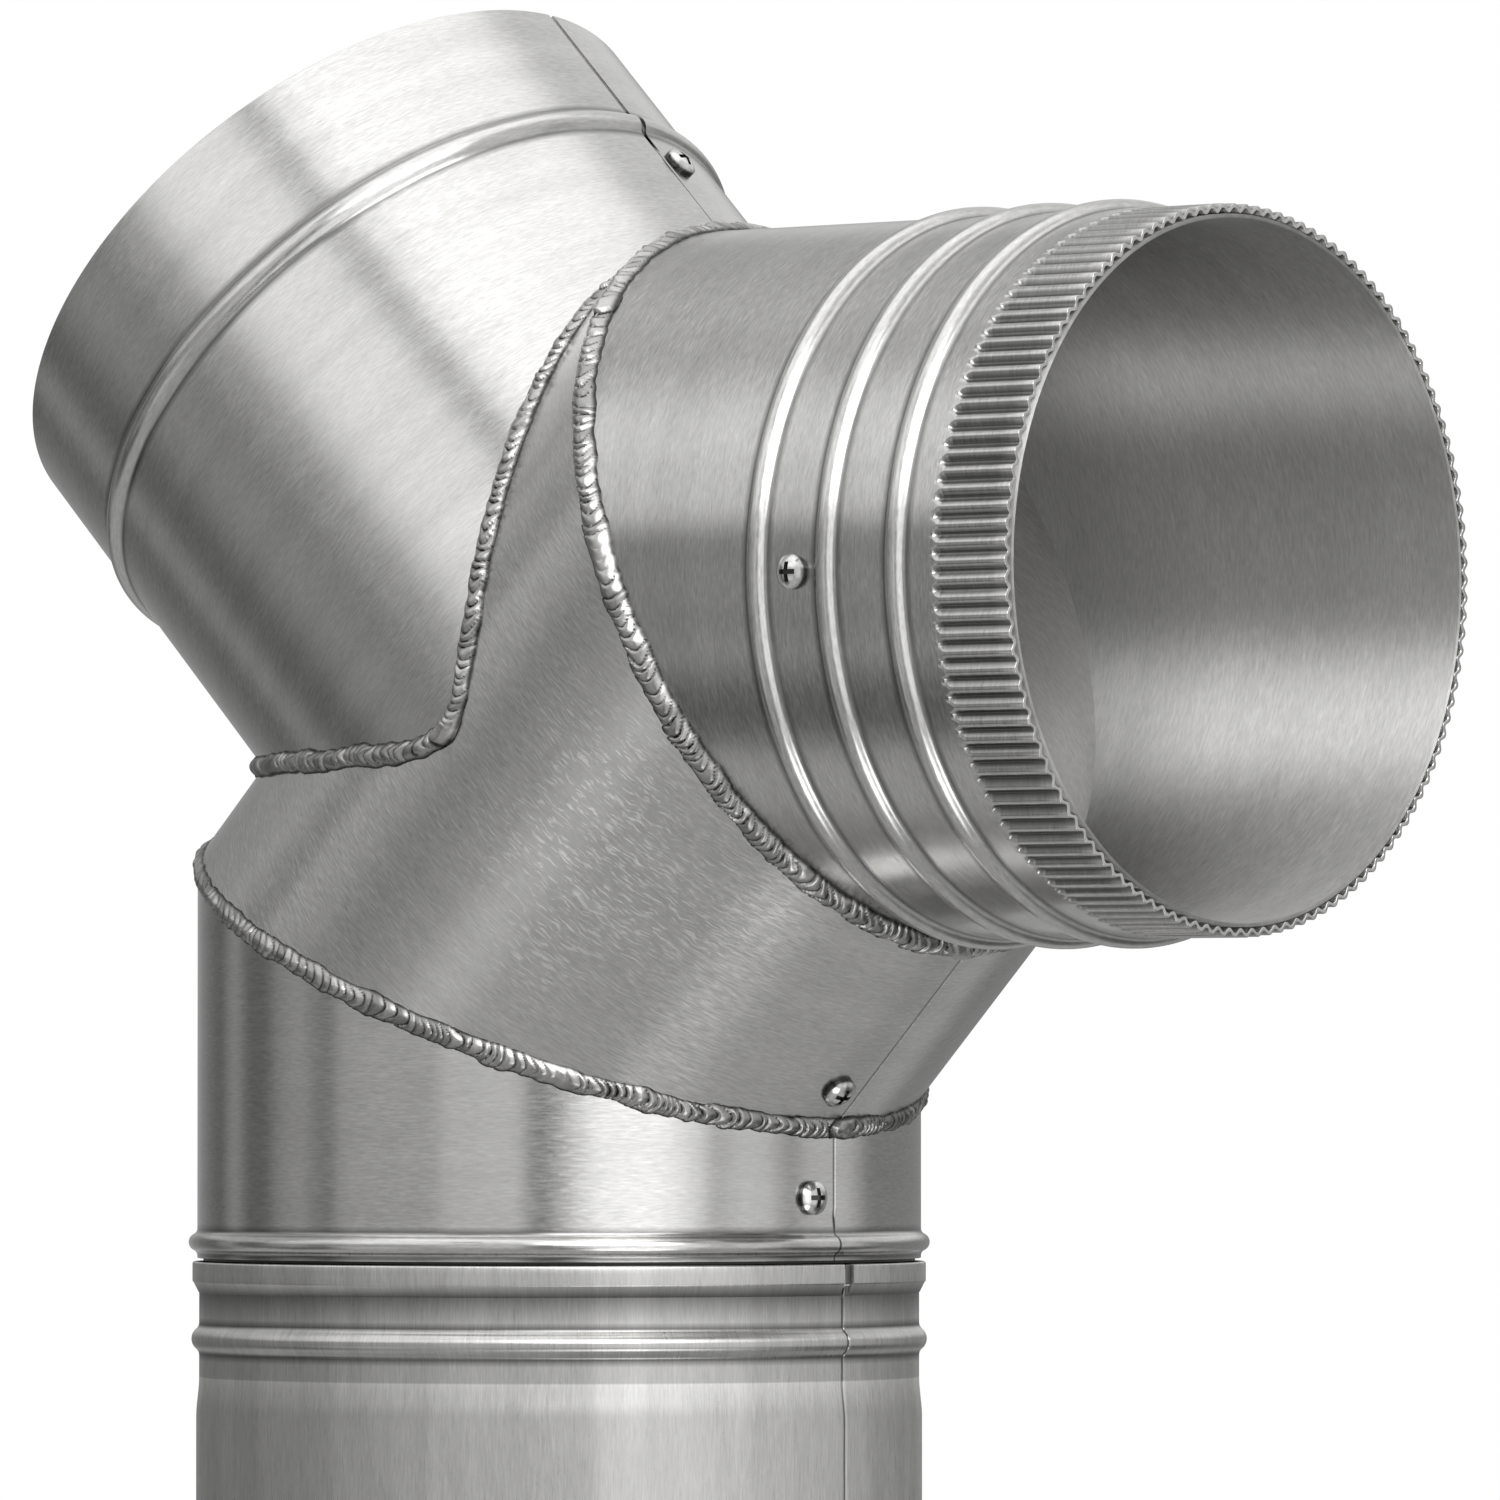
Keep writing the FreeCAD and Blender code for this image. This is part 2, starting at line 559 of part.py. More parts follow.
def branch_weld():
    """Weld round the saddle where the branch stands on the gore."""
    gore_axis = direction(number("Sizes.gore_tilt"))
    branch_axis = direction(-number("Sizes.branch_tilt"))
    sideways = FreeCAD.Vector(0, 1, 0)
    crossing = point_along_gore("Sizes.branch_position")
    gore_radius = number(body_radius)
    radius = number(branch_radius)
    branch_side = sideways.cross(branch_axis)

    def path(share):
        angle = 2 * math.pi * share
        wall = (branch_side * math.cos(angle) + sideways * math.sin(angle)) * radius
        # distance up the branch at which its wall meets the gore
        slope = branch_axis.dot(gore_axis)
        along = wall.dot(gore_axis)
        a = 1 - slope**2
        b = -2 * along * slope
        c = wall.dot(wall) - along**2 - gore_radius**2
        rise = (-b + math.sqrt(b * b - 4 * a * c)) / (2 * a)
        offset = wall + branch_axis * rise
        gore_normal = (offset - gore_axis * offset.dot(gore_axis)).normalize()
        return crossing + offset, gore_normal, wall.normalize()

    reach = number(overshoot)
    gore = Part.makeCylinder(gore_radius, 4 * reach, crossing - gore_axis * (2 * reach), gore_axis)
    branch = Part.makeCylinder(radius, 2 * reach, crossing, branch_axis)
    return weld_ring("branch_weld", path, number("Sizes.weld_radius"), [gore, branch])


def point_along_gore(distance):
    rise = number(lower_mitre_rise)
    return FreeCAD.Vector(0, 0, rise) + direction(number("Sizes.gore_tilt")) * number(distance)


def make_welds():
    gore_tilt = number("Sizes.gore_tilt")
    body = number(body_radius)
    outlet = number(outlet_radius)
    lower = mitre_weld("bottom_weld", point_along_gore("0"), (0, gore_tilt), (body, body), body,
                       number("Sizes.weld_radius"))
    upper = mitre_weld("outlet_weld", point_along_gore("Sizes.gore_length"),
                       (gore_tilt, number("Sizes.outlet_tilt")), (body, outlet), (body + outlet) / 2,
                       number("Sizes.outlet_weld_radius"))
    return [lower, upper, branch_weld()]


# Pan-head screws and the holes that they pass through
screw_places = {
    "collar_screw": on_wall(collar_frame, "Sizes.collar_screw_angle", "Sizes.collar_screw_rise",
                            body_radius),
    "gore_screw": on_wall(gore_frame, "Sizes.gore_screw_angle", "Sizes.gore_screw_rise", body_radius),
    "outlet_screw": on_wall(outlet_frame, "Sizes.outlet_screw_angle",
                            "Sizes.outlet_length - Sizes.outlet_screw_setback", outlet_radius),
    "branch_screw": on_wall(branch_frame, "Sizes.branch_screw_angle", "Sizes.branch_screw_rise",
                            branch_radius),
}


def screw_hole(name):
    below = f"placement(vector(0; 0; -2 * Sizes.screw_length); {no_turn})"
    count = len(doc.findObjects("Part::Cylinder"))
    return cylinder(f"Hole{count}", f"{screw_places[name]} * {below}",
                    "Sizes.screw_diameter / 2 + Sizes.screw_hole_clearance", "3 * Sizes.screw_length")


def collar_screw_hole():
    return screw_hole("collar_screw")


def gore_screw_hole():
    return screw_hole("gore_screw")


def outlet_screw_hole():
    return screw_hole("outlet_screw")


def branch_screw_hole():
    return screw_hole("branch_screw")


def make_screw(label):
    """Pan head with a cross recess, on a short pointed shank."""
    name = label.title().replace("_", "")
    body = new_body(name, screw_places[label])
    outline = Outline(body, f"{name}Profile", "XZ_Plane")
    head = "Sizes.screw_head_diameter / 2"
    rise = "Sizes.screw_head_height"
    dome = f"({rise} - Sizes.screw_head_edge)"
    crown = f"(({head}) ^ 2 + {dome} ^ 2) / (2 * {dome})"
    outline.to("0", rise)
    outline.to("0", "-Sizes.screw_length")
    outline.to("Sizes.screw_diameter / 2", "-Sizes.screw_length + Sizes.screw_point")
    outline.to("Sizes.screw_diameter / 2", "0")
    outline.to(head, "0")
    outline.to(head, "Sizes.screw_head_edge")
    outline.bends[0] = (crown, -1)
    revolve(body, outline.close())
    recess = Outline(body, f"{name}Cross", "XY_Plane")
    arm = "Sizes.screw_recess_width / 2"
    span = "Sizes.screw_recess_span / 2"
    steps = [(arm, arm), (arm, span), (f"-{arm}", span), (f"-{arm}", arm), (f"-{span}", arm),
             (f"-{span}", f"-{arm}"), (f"-{arm}", f"-{arm}"), (f"-{arm}", f"-{span}"),
             (arm, f"-{span}"), (arm, f"-{arm}"), (span, f"-{arm}"), (span, arm)]
    for across, up in steps:
        recess.to(across, up)
    sketch = recess.close()
    top = f"placement(vector(0; 0; {rise}); {no_turn})"
    sketch.setExpression("AttachmentOffset", top)
    pocket = body.newObject("PartDesign::Pocket", f"{name}Recess")
    pocket.Profile = sketch
    pocket.setExpression("Length", "Sizes.screw_recess_depth")
    doc.recompute()
    body.Label = label
    return body


nodes = [
    make_lower_pipe(),
    make_bottom_collar(),
    make_middle_gore(),
    make_outlet_collar(),
    make_outlet_sleeve(),
    make_inspection_branch(),
]
nodes += make_welds()
nodes += [make_screw(label) for label in screw_places]
doc.recompute()

# Checks before anything is written
for item in doc.Objects:
    if "Invalid" in item.State or "Error" in item.State:
        raise RuntimeError(f"{item.Label} failed: {item.State}")
for node in nodes:
    if node.Shape.isNull() or not node.Shape.isValid():
        raise RuntimeError(f"{node.Label} has no valid shape")
    print(node.Label, round(node.Shape.Volume, 1), len(node.Shape.Solids), len(node.Shape.Faces))

os.makedirs("parts", exist_ok=True)
for node in nodes:
    node.Shape.exportStep(f"parts/{node.Label}.step")
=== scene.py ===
# Flue inspection elbow: the finished surfaces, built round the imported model. Metres, Z up.
import bmesh
import bpy
import math
import numpy as np
from mathutils import Matrix, Vector


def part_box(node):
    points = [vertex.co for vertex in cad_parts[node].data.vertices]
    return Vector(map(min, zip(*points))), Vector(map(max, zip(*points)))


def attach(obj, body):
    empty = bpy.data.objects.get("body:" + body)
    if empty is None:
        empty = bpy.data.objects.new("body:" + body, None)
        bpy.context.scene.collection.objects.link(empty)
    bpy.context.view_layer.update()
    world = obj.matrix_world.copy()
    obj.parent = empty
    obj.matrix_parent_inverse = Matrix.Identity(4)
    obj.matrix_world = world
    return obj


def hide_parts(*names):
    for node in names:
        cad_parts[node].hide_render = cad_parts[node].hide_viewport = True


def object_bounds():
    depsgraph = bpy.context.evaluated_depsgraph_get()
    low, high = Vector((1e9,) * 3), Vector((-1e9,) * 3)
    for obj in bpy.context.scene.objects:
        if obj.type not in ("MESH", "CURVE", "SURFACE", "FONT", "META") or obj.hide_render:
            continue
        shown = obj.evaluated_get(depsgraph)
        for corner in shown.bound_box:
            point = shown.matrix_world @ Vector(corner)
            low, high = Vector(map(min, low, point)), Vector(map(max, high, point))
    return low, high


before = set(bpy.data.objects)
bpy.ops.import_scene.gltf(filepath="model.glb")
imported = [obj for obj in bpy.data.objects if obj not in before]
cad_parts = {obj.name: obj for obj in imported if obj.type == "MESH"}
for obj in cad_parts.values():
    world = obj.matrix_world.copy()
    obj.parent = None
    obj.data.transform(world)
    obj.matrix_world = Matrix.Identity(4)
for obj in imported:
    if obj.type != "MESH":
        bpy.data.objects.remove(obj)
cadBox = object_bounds()
mm = 0.001
wholeTurn = 2 * math.pi
steelTone = (0.600, 0.596, 0.586)

# Sizes that several pieces share, in millimetres: the sheet, the rounding of its edges, and the tubes
sheet, soft = 1.0, 0.14
halfMitre = math.radians(22.5)
mitreSlope = math.tan(halfMitre)
elbow = {
    "bodyRadius": 75.0,
    "outletRadius": 73.0,
    "branchRadius": 74.5,
    "collarHeight": 58.5,
    "goreLength": 112.5,
    "branchPosition": 60.4,
    "branchLength": 149.5,
    "outletLength": 102.6,
    "columns": 400,
    "seamWidth": 0.5,
    # plain rows this far outside each bead, and columns this far from each seam
    "beadMargin": 1.1,
    "seamColumns": (0.05, 0.15, 0.28, 0.45, 0.9),
}
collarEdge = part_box("bottom_collar")[0].z / mm
lowerMitre = Vector((0, 0, collarEdge + elbow["collarHeight"]))
goreAxis = Vector((math.sin(math.radians(45)), 0, math.cos(math.radians(45))))
upperMitre = lowerMitre + goreAxis * elbow["goreLength"]
branchFoot = lowerMitre + goreAxis * elbow["branchPosition"]


def tubeFrame(origin, tilt):
    # turns +Z towards +X by the tilt, in degrees
    return Matrix.Translation(origin) @ Matrix.Rotation(math.radians(tilt), 4, "Y")


frames = {
    "pipe": tubeFrame(Vector((0, 0, 0)), 0),
    "collar": tubeFrame(Vector((0, 0, collarEdge)), 0),
    "gore": tubeFrame(lowerMitre, 45),
    "outlet": tubeFrame(upperMitre, 90),
    "branch": tubeFrame(branchFoot, -45),
    "whole": Matrix.Identity(4),
}


# Mesh helpers
def addPiece(name, points, faces, frameName, node, material, values, sharpFrom=38):
    mesh = bpy.data.meshes.new(name)
    mesh.from_pydata(np.asarray(points).tolist(), [], [list(face) for face in faces])
    mesh.transform(Matrix.Scale(mm, 4) @ frames[frameName])
    for key, numbers in values.items():
        layer = mesh.attributes.new(key, "FLOAT", "POINT")
        layer.data.foreach_set("value", np.asarray(numbers, np.float32).ravel())
    shaped = bmesh.new()
    shaped.from_mesh(mesh)
    if shaped.calc_volume(signed=True) < 0:
        bmesh.ops.reverse_faces(shaped, faces=shaped.faces)
    shaped.to_mesh(mesh)
    shaped.free()
    mesh.polygons.foreach_set("use_smooth", [True] * len(mesh.polygons))
    mesh.set_sharp_from_angle(angle=math.radians(sharpFrom))
    mesh.materials.append(material)
    piece = bpy.data.objects.new(name, mesh)
    bpy.context.scene.collection.objects.link(piece)
    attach(piece, "root")
    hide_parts(node)
    print("built", name, len(mesh.polygons), "faces")
    return piece


def ringCells(rows, columns):
    # corner numbers of every cell of a grid that closes both ways, row by row
    cell = np.arange(rows * columns).reshape(rows, columns)
    right = np.roll(cell, -1, axis=1)
    return np.stack([cell, right, np.roll(right, -1, axis=0), np.roll(cell, -1, axis=0)], axis=-1)


def rowsToPoints(angles, rows):
    # each row is a radius and a place along the tube, the same all round or one for each column
    flat = np.zeros_like(angles)
    return np.array([
        np.stack([(r + flat) * np.cos(angles), (r + flat) * np.sin(angles), s + flat], axis=-1)
        for r, s in rows
    ])


def addTube(name, rows, angles, frameName, node, material, values):
    # rows run up the outside and down the inside
    points = rowsToPoints(angles, rows).reshape(-1, 3)
    cells = ringCells(len(rows), len(angles)).reshape(-1, 4)
    return addPiece(name, points, cells, frameName, node, material, values)


def withoutLoose(points, faces, values):
    # leaves out the corners that no face uses
    used = sorted({corner for face in faces for corner in face})
    renumber = {old: new for new, old in enumerate(used)}
    faces = [[renumber[corner] for corner in face] for face in faces]
    return points.reshape(-1, 3)[used], faces, {key: number.ravel()[used] for key, number in values.items()}


def evenTurn(count):
    return np.linspace(0, wholeTurn, count, endpoint=False)


def withSeam(sizes, radius, offsets=elbow["seamColumns"]):
    # columns that crowd near a seam, the way round from it to each, and how deep its groove goes there
    seam = math.radians(sizes["seamAngle"])

    def fromSeam(angles):
        return (angles - seam + math.pi) % wholeTurn - math.pi

    even, near = evenTurn(elbow["columns"]), max(offsets) / radius * 1.3
    beside = np.array([sign * offset / radius for offset in offsets for sign in (-1, 1)])
    angles = np.unique(np.concatenate([even[np.abs(fromSeam(even)) > near], (seam + beside) % wholeTurn]))
    off = fromSeam(angles) * radius
    return angles, off, sizes["seamDepth"] * np.clip(1.5 - np.abs(off) / (elbow["seamWidth"] / 2), 0, 1)


def beadRows(radius, middle, width, height, inset=0.0, steps=7, footShare=0.4):
    # hollow foot, round crest and hollow foot again, as rows of (radius, along)
    lean = 2 * math.atan(2 * height / width)
    total = width / 2 / math.sin(lean)
    foot, crest = total * footShare + inset, total * (1 - footShare) - inset
    base, margin = radius - inset, elbow["beadMargin"]
    rows = [(base, middle - width / 2 - margin)]
    for a in np.linspace(0, lean, steps):
        rows.append((base + foot - foot * math.cos(a), middle - width / 2 + foot * math.sin(a)))
    for a in np.linspace(-lean, lean, 2 * steps)[1:-1]:
        rows.append((radius + height - inset - crest + crest * math.cos(a), middle + crest * math.sin(a)))
    for a in np.linspace(lean, 0, steps):
        rows.append((base + foot - foot * math.cos(a), middle + width / 2 - foot * math.sin(a)))
    return rows + [(base, middle + width / 2 + margin)]


def spaced(first, last, count):
    # two rows with evenly spaced ones between them
    shares = np.linspace(0, 1, count + 2)
    return [tuple(np.asarray(a) * (1 - t) + np.asarray(b) * t for a, b in zip(first, last)) for t in shares]


def beadFeet(sizes, *middles):
    return [middle + side * sizes["bead"][0] * 0.46 for middle in middles for side in (-1, 1)]


# How dark the painted shade at a bead's foot and along a seam is, and how far a foot's line of painted shade reaches
# in millimetres
creaseSize = {"footReach": 0.55, "seamShade": 1.45, "farOff": 9.0}


def wallValues(rows, drop, outerRows, feet, seamRows=None):
    # for each corner: the painted shade at a bead's foot or along a seam, and whether it lies on the inside
    paintedShade, inside = [], []
    count = len(drop)
    onSeam = drop / max(float(np.max(drop)), 1e-9)
    first, last = seamRows or (0, outerRows)
    for number, (_, along) in enumerate(rows):
        nearest = np.full(count, creaseSize["farOff"])
        for foot in feet:
            nearest = np.minimum(nearest, np.abs(along - foot))
        paintedShade.append(np.exp(-(nearest / creaseSize["footReach"]) ** 2))
        if first <= number < last:
            paintedShade[-1] = np.maximum(paintedShade[-1], onSeam * creaseSize["seamShade"])
        inside.append(np.full(count, float(number >= outerRows)))
    return {"paintedShade": np.array(paintedShade), "inside": np.array(inside)}


def softFoot(radius):
    # rows that round the lower outside edge of a tube
    return [(radius - soft, 0), (radius - soft * 0.3, soft * 0.3), (radius, soft)]


def roundedRim(outer, inner, top):
    # rows over a tube's plain upper end, from its outside to its inside
    return [
        (outer, top - soft), (outer - soft * 0.3, top - soft * 0.3), (outer - soft, top),
        (inner + soft, top), (inner + soft * 0.3, top - soft * 0.3), (inner, top - soft),
    ]


# Shader helpers
def newGroup(name, inputs, outputs):
    # a triple gives a vector socket and a number a float socket; every output is a number
    group = bpy.data.node_groups.new(name, "ShaderNodeTree")
    for label, value in inputs.items():
        kind = "NodeSocketVector" if isinstance(value, tuple) else "NodeSocketFloat"
        group.interface.new_socket(name=label, in_out="INPUT", socket_type=kind).default_value = value
    for label in outputs:
        group.interface.new_socket(name=label, in_out="OUTPUT", socket_type="NodeSocketFloat")
    return group, group.nodes.new("NodeGroupInput").outputs, group.nodes.new("NodeGroupOutput").inputs


def setInputs(tree, node, links):
    for key, source in links.items():
        if isinstance(source, bpy.types.NodeSocket):
            tree.links.new(source, node.inputs[key])
        else:
            node.inputs[key].default_value = source


def addNode(tree, kind, links=None, **settings):
    node = tree.nodes.new(kind)
    for key, value in settings.items():
        setattr(node, key, value)
    setInputs(tree, node, links or {})
    return node


def mathOf(tree, operation, *items):
    return addNode(tree, "ShaderNodeMath", dict(enumerate(items)), operation=operation).outputs[0]


def product(tree, first, *others):
    for item in others:
        first = mathOf(tree, "MULTIPLY", first, item)
    return first


def vectorOf(tree, operation, first, second=None, scale=None):
    links = {key: item for key, item in ((0, first), (1, second), ("Scale", scale)) if item is not None}
    node = addNode(tree, "ShaderNodeVectorMath", links, operation=operation)
    return node.outputs["Value" if operation in ("DOT_PRODUCT", "LENGTH") else "Vector"]


def mapped(tree, value, start, end, low=0.0, high=1.0, smooth=False):
    links = {"Value": value, "From Min": start, "From Max": end, "To Min": low, "To Max": high}
    kind = "SMOOTHSTEP" if smooth else "LINEAR"
    return addNode(tree, "ShaderNodeMapRange", links, interpolation_type=kind).outputs[0]


def noiseOf(tree, place, scale, detail, output="Fac"):
    links = {"Vector": place, "Scale": scale, "Detail": detail}
    return addNode(tree, "ShaderNodeTexNoise", links).outputs[output]


def mixOf(tree, factor, first, second):
    links = {"Factor": factor, "A": first, "B": second}
    return addNode(tree, "ShaderNodeMix", links, data_type="FLOAT").outputs[0]


def storedValue(tree, name):
    return addNode(tree, "ShaderNodeAttribute", attribute_name=name).outputs["Fac"]


def newMetal(name):
    material = bpy.data.materials.new(name)
    material.use_nodes = True
    tree = material.node_tree
    shader = tree.nodes["Principled BSDF"]
    shader.inputs["Metallic"].default_value = 1.0
    return material, tree, shader, addNode(tree, "ShaderNodeTexCoord").outputs["Object"]


# Shader groups
onTube = {"Place": (0, 0, 0), "Axis Point": (0, 0, 0), "Axis": (0, 0, 1)}
grainLayers = {
    # layer: share of the scale round the tube and along it, detail, roughness of the noise
    "Fine": (1.0, 1.0, 3.0, 0.6), "Streak": (0.8, 0.55, 3.0, 0.65), "Cloud": (0.05, 0.05, 2.0, 0.5),
}


def makeTubeGrain():
    # brushed lines that run round a tube or along it, from the place on the tube
    inputs = {**onTube, "Round Scale": 4.0, "Along Scale": 3000.0, "Seed": 0.0}
    group, given, result = newGroup("tubeGrain", inputs, grainLayers)
    offset = vectorOf(group, "SUBTRACT", given["Place"], given["Axis Point"])
    along = vectorOf(group, "DOT_PRODUCT", offset, given["Axis"])
    lengthwise = vectorOf(group, "SCALE", given["Axis"], scale=along)
    outward = vectorOf(group, "NORMALIZE", vectorOf(group, "SUBTRACT", offset, lengthwise))
    for label, (roundShare, alongShare, detail, rough) in grainLayers.items():
        roundPart = vectorOf(group, "SCALE", outward, scale=product(group, given["Round Scale"], roundShare))
        alongPart = vectorOf(group, "SCALE", lengthwise, scale=product(group, given["Along Scale"], alongShare))
        noise = addNode(group, "ShaderNodeTexNoise", {
            "Vector": vectorOf(group, "ADD", roundPart, alongPart), "W": given["Seed"], "Scale": 1.0,
            "Detail": detail, "Roughness": rough,
        }, noise_dimensions="4D")
        group.links.new(noise.outputs["Fac"], result[label])
    return group


scratchSize = {
    # of one scratch, in millimetres
    "length": 3.2, "width": 0.5,
    # how much it stands out in the relief and in the tone
    "relief": 2.6, "shine": 0.5,
    # where the worst patch is and how far it reaches, in metres
    "middle": (0.0735, -0.0665, 0.1935), "patch": 0.03,
    # how far the scratches waver, in metres, and at what scale
    "waver": 0.0019, "waverScale": 260.0,
    # the part of the grain that counts as scratches, and how they thin out away from the patch
    "strokes": (0.51, 0.62), "unevenness": 1.6, "unevenScale": 40.0, "thinning": (-0.6, 0.7, 0.12, 1.0),
}


def makeScratches():
    # short wavering scratches across a tube's grain, gathered in patches
    p = scratchSize
    inputs = {
        **onTube, "Round Scale": 30.0, "Along Scale": 2200.0, "Patch Middle": (0, 0, 0), "Patch Radius": 0.04,
        "Amount": 0.5,
    }
    group, given, result = newGroup("fineScratches", inputs, ["Mask"])
    place = given["Place"]
    wave = noiseOf(group, place, p["waverScale"], 1.0, "Color")
    shift = vectorOf(group, "SUBTRACT", wave, (0.5, 0.5, 0.5))
    links = {key: given[key] for key in ("Axis Point", "Axis", "Round Scale", "Along Scale")}
    links["Place"] = vectorOf(group, "ADD", place, vectorOf(group, "SCALE", shift, scale=p["waver"]))
    strokes = addNode(group, "ShaderNodeGroup", links, node_tree=tubeGrain)
    mark = mapped(group, strokes.outputs["Fine"], *p["strokes"], smooth=True)
    apart = vectorOf(group, "LENGTH", vectorOf(group, "SUBTRACT", place, given["Patch Middle"]))
    reach = mathOf(group, "DIVIDE", apart, given["Patch Radius"])
    uneven = noiseOf(group, place, p["unevenScale"], 2.0)
    nearness = mathOf(group, "MULTIPLY_ADD", uneven, p["unevenness"], product(group, reach, -1.0))
    gathered = mapped(group, nearness, *p["thinning"], smooth=True)
    group.links.new(product(group, mark, gathered, given["Amount"]), result["Mask"])
    return group


tubeGrain = makeTubeGrain()
fineScratches = makeScratches()
brushed = {
    "fineShare": 0.5, "grainRange": (0.33, 0.67), "cloudRange": (0.3, 0.7), "brightShare": 0.6,
    # how strong the painted shade is and its darkest level, how much painted light brightens the inner side, then
    # roughness
    "shadeStrength": 0.62, "darkest": 0.02, "insideLight": 0.42, "insideRough": 0.35, "roughSpread": 0.14,
    "bumpDistance": 0.0001,
}


def tubeMetal(name, frameName, grainRound=True, roughness=0.22, anisotropy=0.8, tone=steelTone, contrast=0.16,
              clouds=0.045, scratches=0.0, seed=0.0, grainWidth=0.28, grainLength=2.4, bump=0.12):
    # brushed sheet; the highlight spreads across the grain
    b, s = brushed, scratchSize
    material, tree, shader, place = newMetal(name)
    matrix, radius = frames[frameName], elbow["bodyRadius"]
    axis = (matrix.to_3x3() @ Vector((0, 0, 1))).normalized()
    across, lengthwise = 1 / (grainWidth * mm), 1 / (grainLength * mm)
    given = {"Place": place, "Axis Point": matrix.translation * mm, "Axis": axis}
    grain = addNode(tree, "ShaderNodeGroup", {
        **given, "Round Scale": radius * mm * (lengthwise if grainRound else across),
        "Along Scale": across if grainRound else lengthwise, "Seed": seed,
    }, node_tree=tubeGrain).outputs
    paintedShade, inside = storedValue(tree, "paintedShade"), storedValue(tree, "inside")
    fine = product(tree, grain["Fine"], b["fineShare"])
    mixed = mathOf(tree, "ADD", fine, product(tree, grain["Streak"], 1 - b["fineShare"]))
    lift = mapped(tree, mixed, *b["grainRange"], 1 - contrast, 1 + contrast * b["brightShare"])
    level = product(tree, lift, mapped(tree, grain["Cloud"], *b["cloudRange"], 1 - clouds, 1 + clouds))
    if scratches:
        marks = addNode(tree, "ShaderNodeGroup", {
            **given, "Round Scale": radius / s["length"], "Along Scale": 1 / (s["width"] * mm), "Amount": scratches,
            "Patch Middle": s["middle"], "Patch Radius": s["patch"],
        }, node_tree=fineScratches)
        shown = product(tree, marks.outputs["Mask"], mathOf(tree, "SUBTRACT", 1.0, inside))
        mixed = mathOf(tree, "MULTIPLY_ADD", shown, s["relief"], mixed)
        level = mathOf(tree, "MULTIPLY_ADD", shown, s["shine"], level)
    # painted shade at bead feet, seams, gaps and flute valleys, and a painted highlight where the stored value goes
    # below 0
    shade = mathOf(tree, "MAXIMUM", mathOf(tree, "MULTIPLY_ADD", paintedShade, -b["shadeStrength"], 1.0), b["darkest"])
    # painted light that brightens the inner side of the tube
    level = product(tree, level, shade, mathOf(tree, "MULTIPLY_ADD", inside, b["insideLight"], 1.0))
    smoothest, roughest = roughness * (1 - b["roughSpread"]), roughness * (1 + b["roughSpread"])
    rough = mapped(tree, grain["Streak"], *b["cloudRange"], smoothest, roughest)
    if grainRound:
        tangent = addNode(tree, "ShaderNodeCombineXYZ", {"X": axis.x, "Y": axis.y, "Z": axis.z}).outputs[0]
    else:
        normal = addNode(tree, "ShaderNodeNewGeometry").outputs["Normal"]
        tangent = vectorOf(tree, "CROSS_PRODUCT", tuple(axis), normal)
    raised = addNode(tree, "ShaderNodeBump", {"Strength": bump, "Distance": b["bumpDistance"], "Height": mixed})
    setInputs(tree, shader, {
        "Base Color": vectorOf(tree, "SCALE", tuple(tone), scale=level), "Anisotropic": anisotropy,
        "Roughness": mathOf(tree, "MULTIPLY_ADD", inside, b["insideRough"], rough),
        "Tangent": tangent, "Normal": raised.outputs[0],
    })
    return material


print("shaders ready")

# Lower pipe; each bead is its width and its height
lowerPipe = {
    "radius": 75.2, "recess": 74.6, "shoulder": 76.0, "top": 110.0, "shoulderHeight": 4.2, "shoulderSlope": 2.1,
    "beadSetback": 16.0, "bead": (6.8, 1.6), "recessEnd": 24.0, "swell": 8.0,
    "spigot": 73.75, "spigotLength": 24.0, "seamAngle": 2.8, "seamDepth": 0.3,
    "seamColumns": (0.05, 0.15, 0.28, 0.45, 0.9, 1.05, 1.85, 2.0),
    "nickFrom": -0.9, "nickTo": 2.0, "nickDepth": 0.9,
    # the shoulder's lower and upper edge: how far in, how far up
    "lipFoot": ((0.25, -0.1), (0.05, 0.12), (0.0, 0.4)), "lipTop": ((0.0, -0.4), (0.08, -0.15), (0.3, 0.0)),
    # painted shadow in the gap, painted shade in the nick, darker over the recess, and a painted highlight over the
    # last rows of the swell
    "gapShade": 1.5, "nickShade": 1.2, "recessDark": 0.12, "swellHighlight": (0.1, 0.62),
}


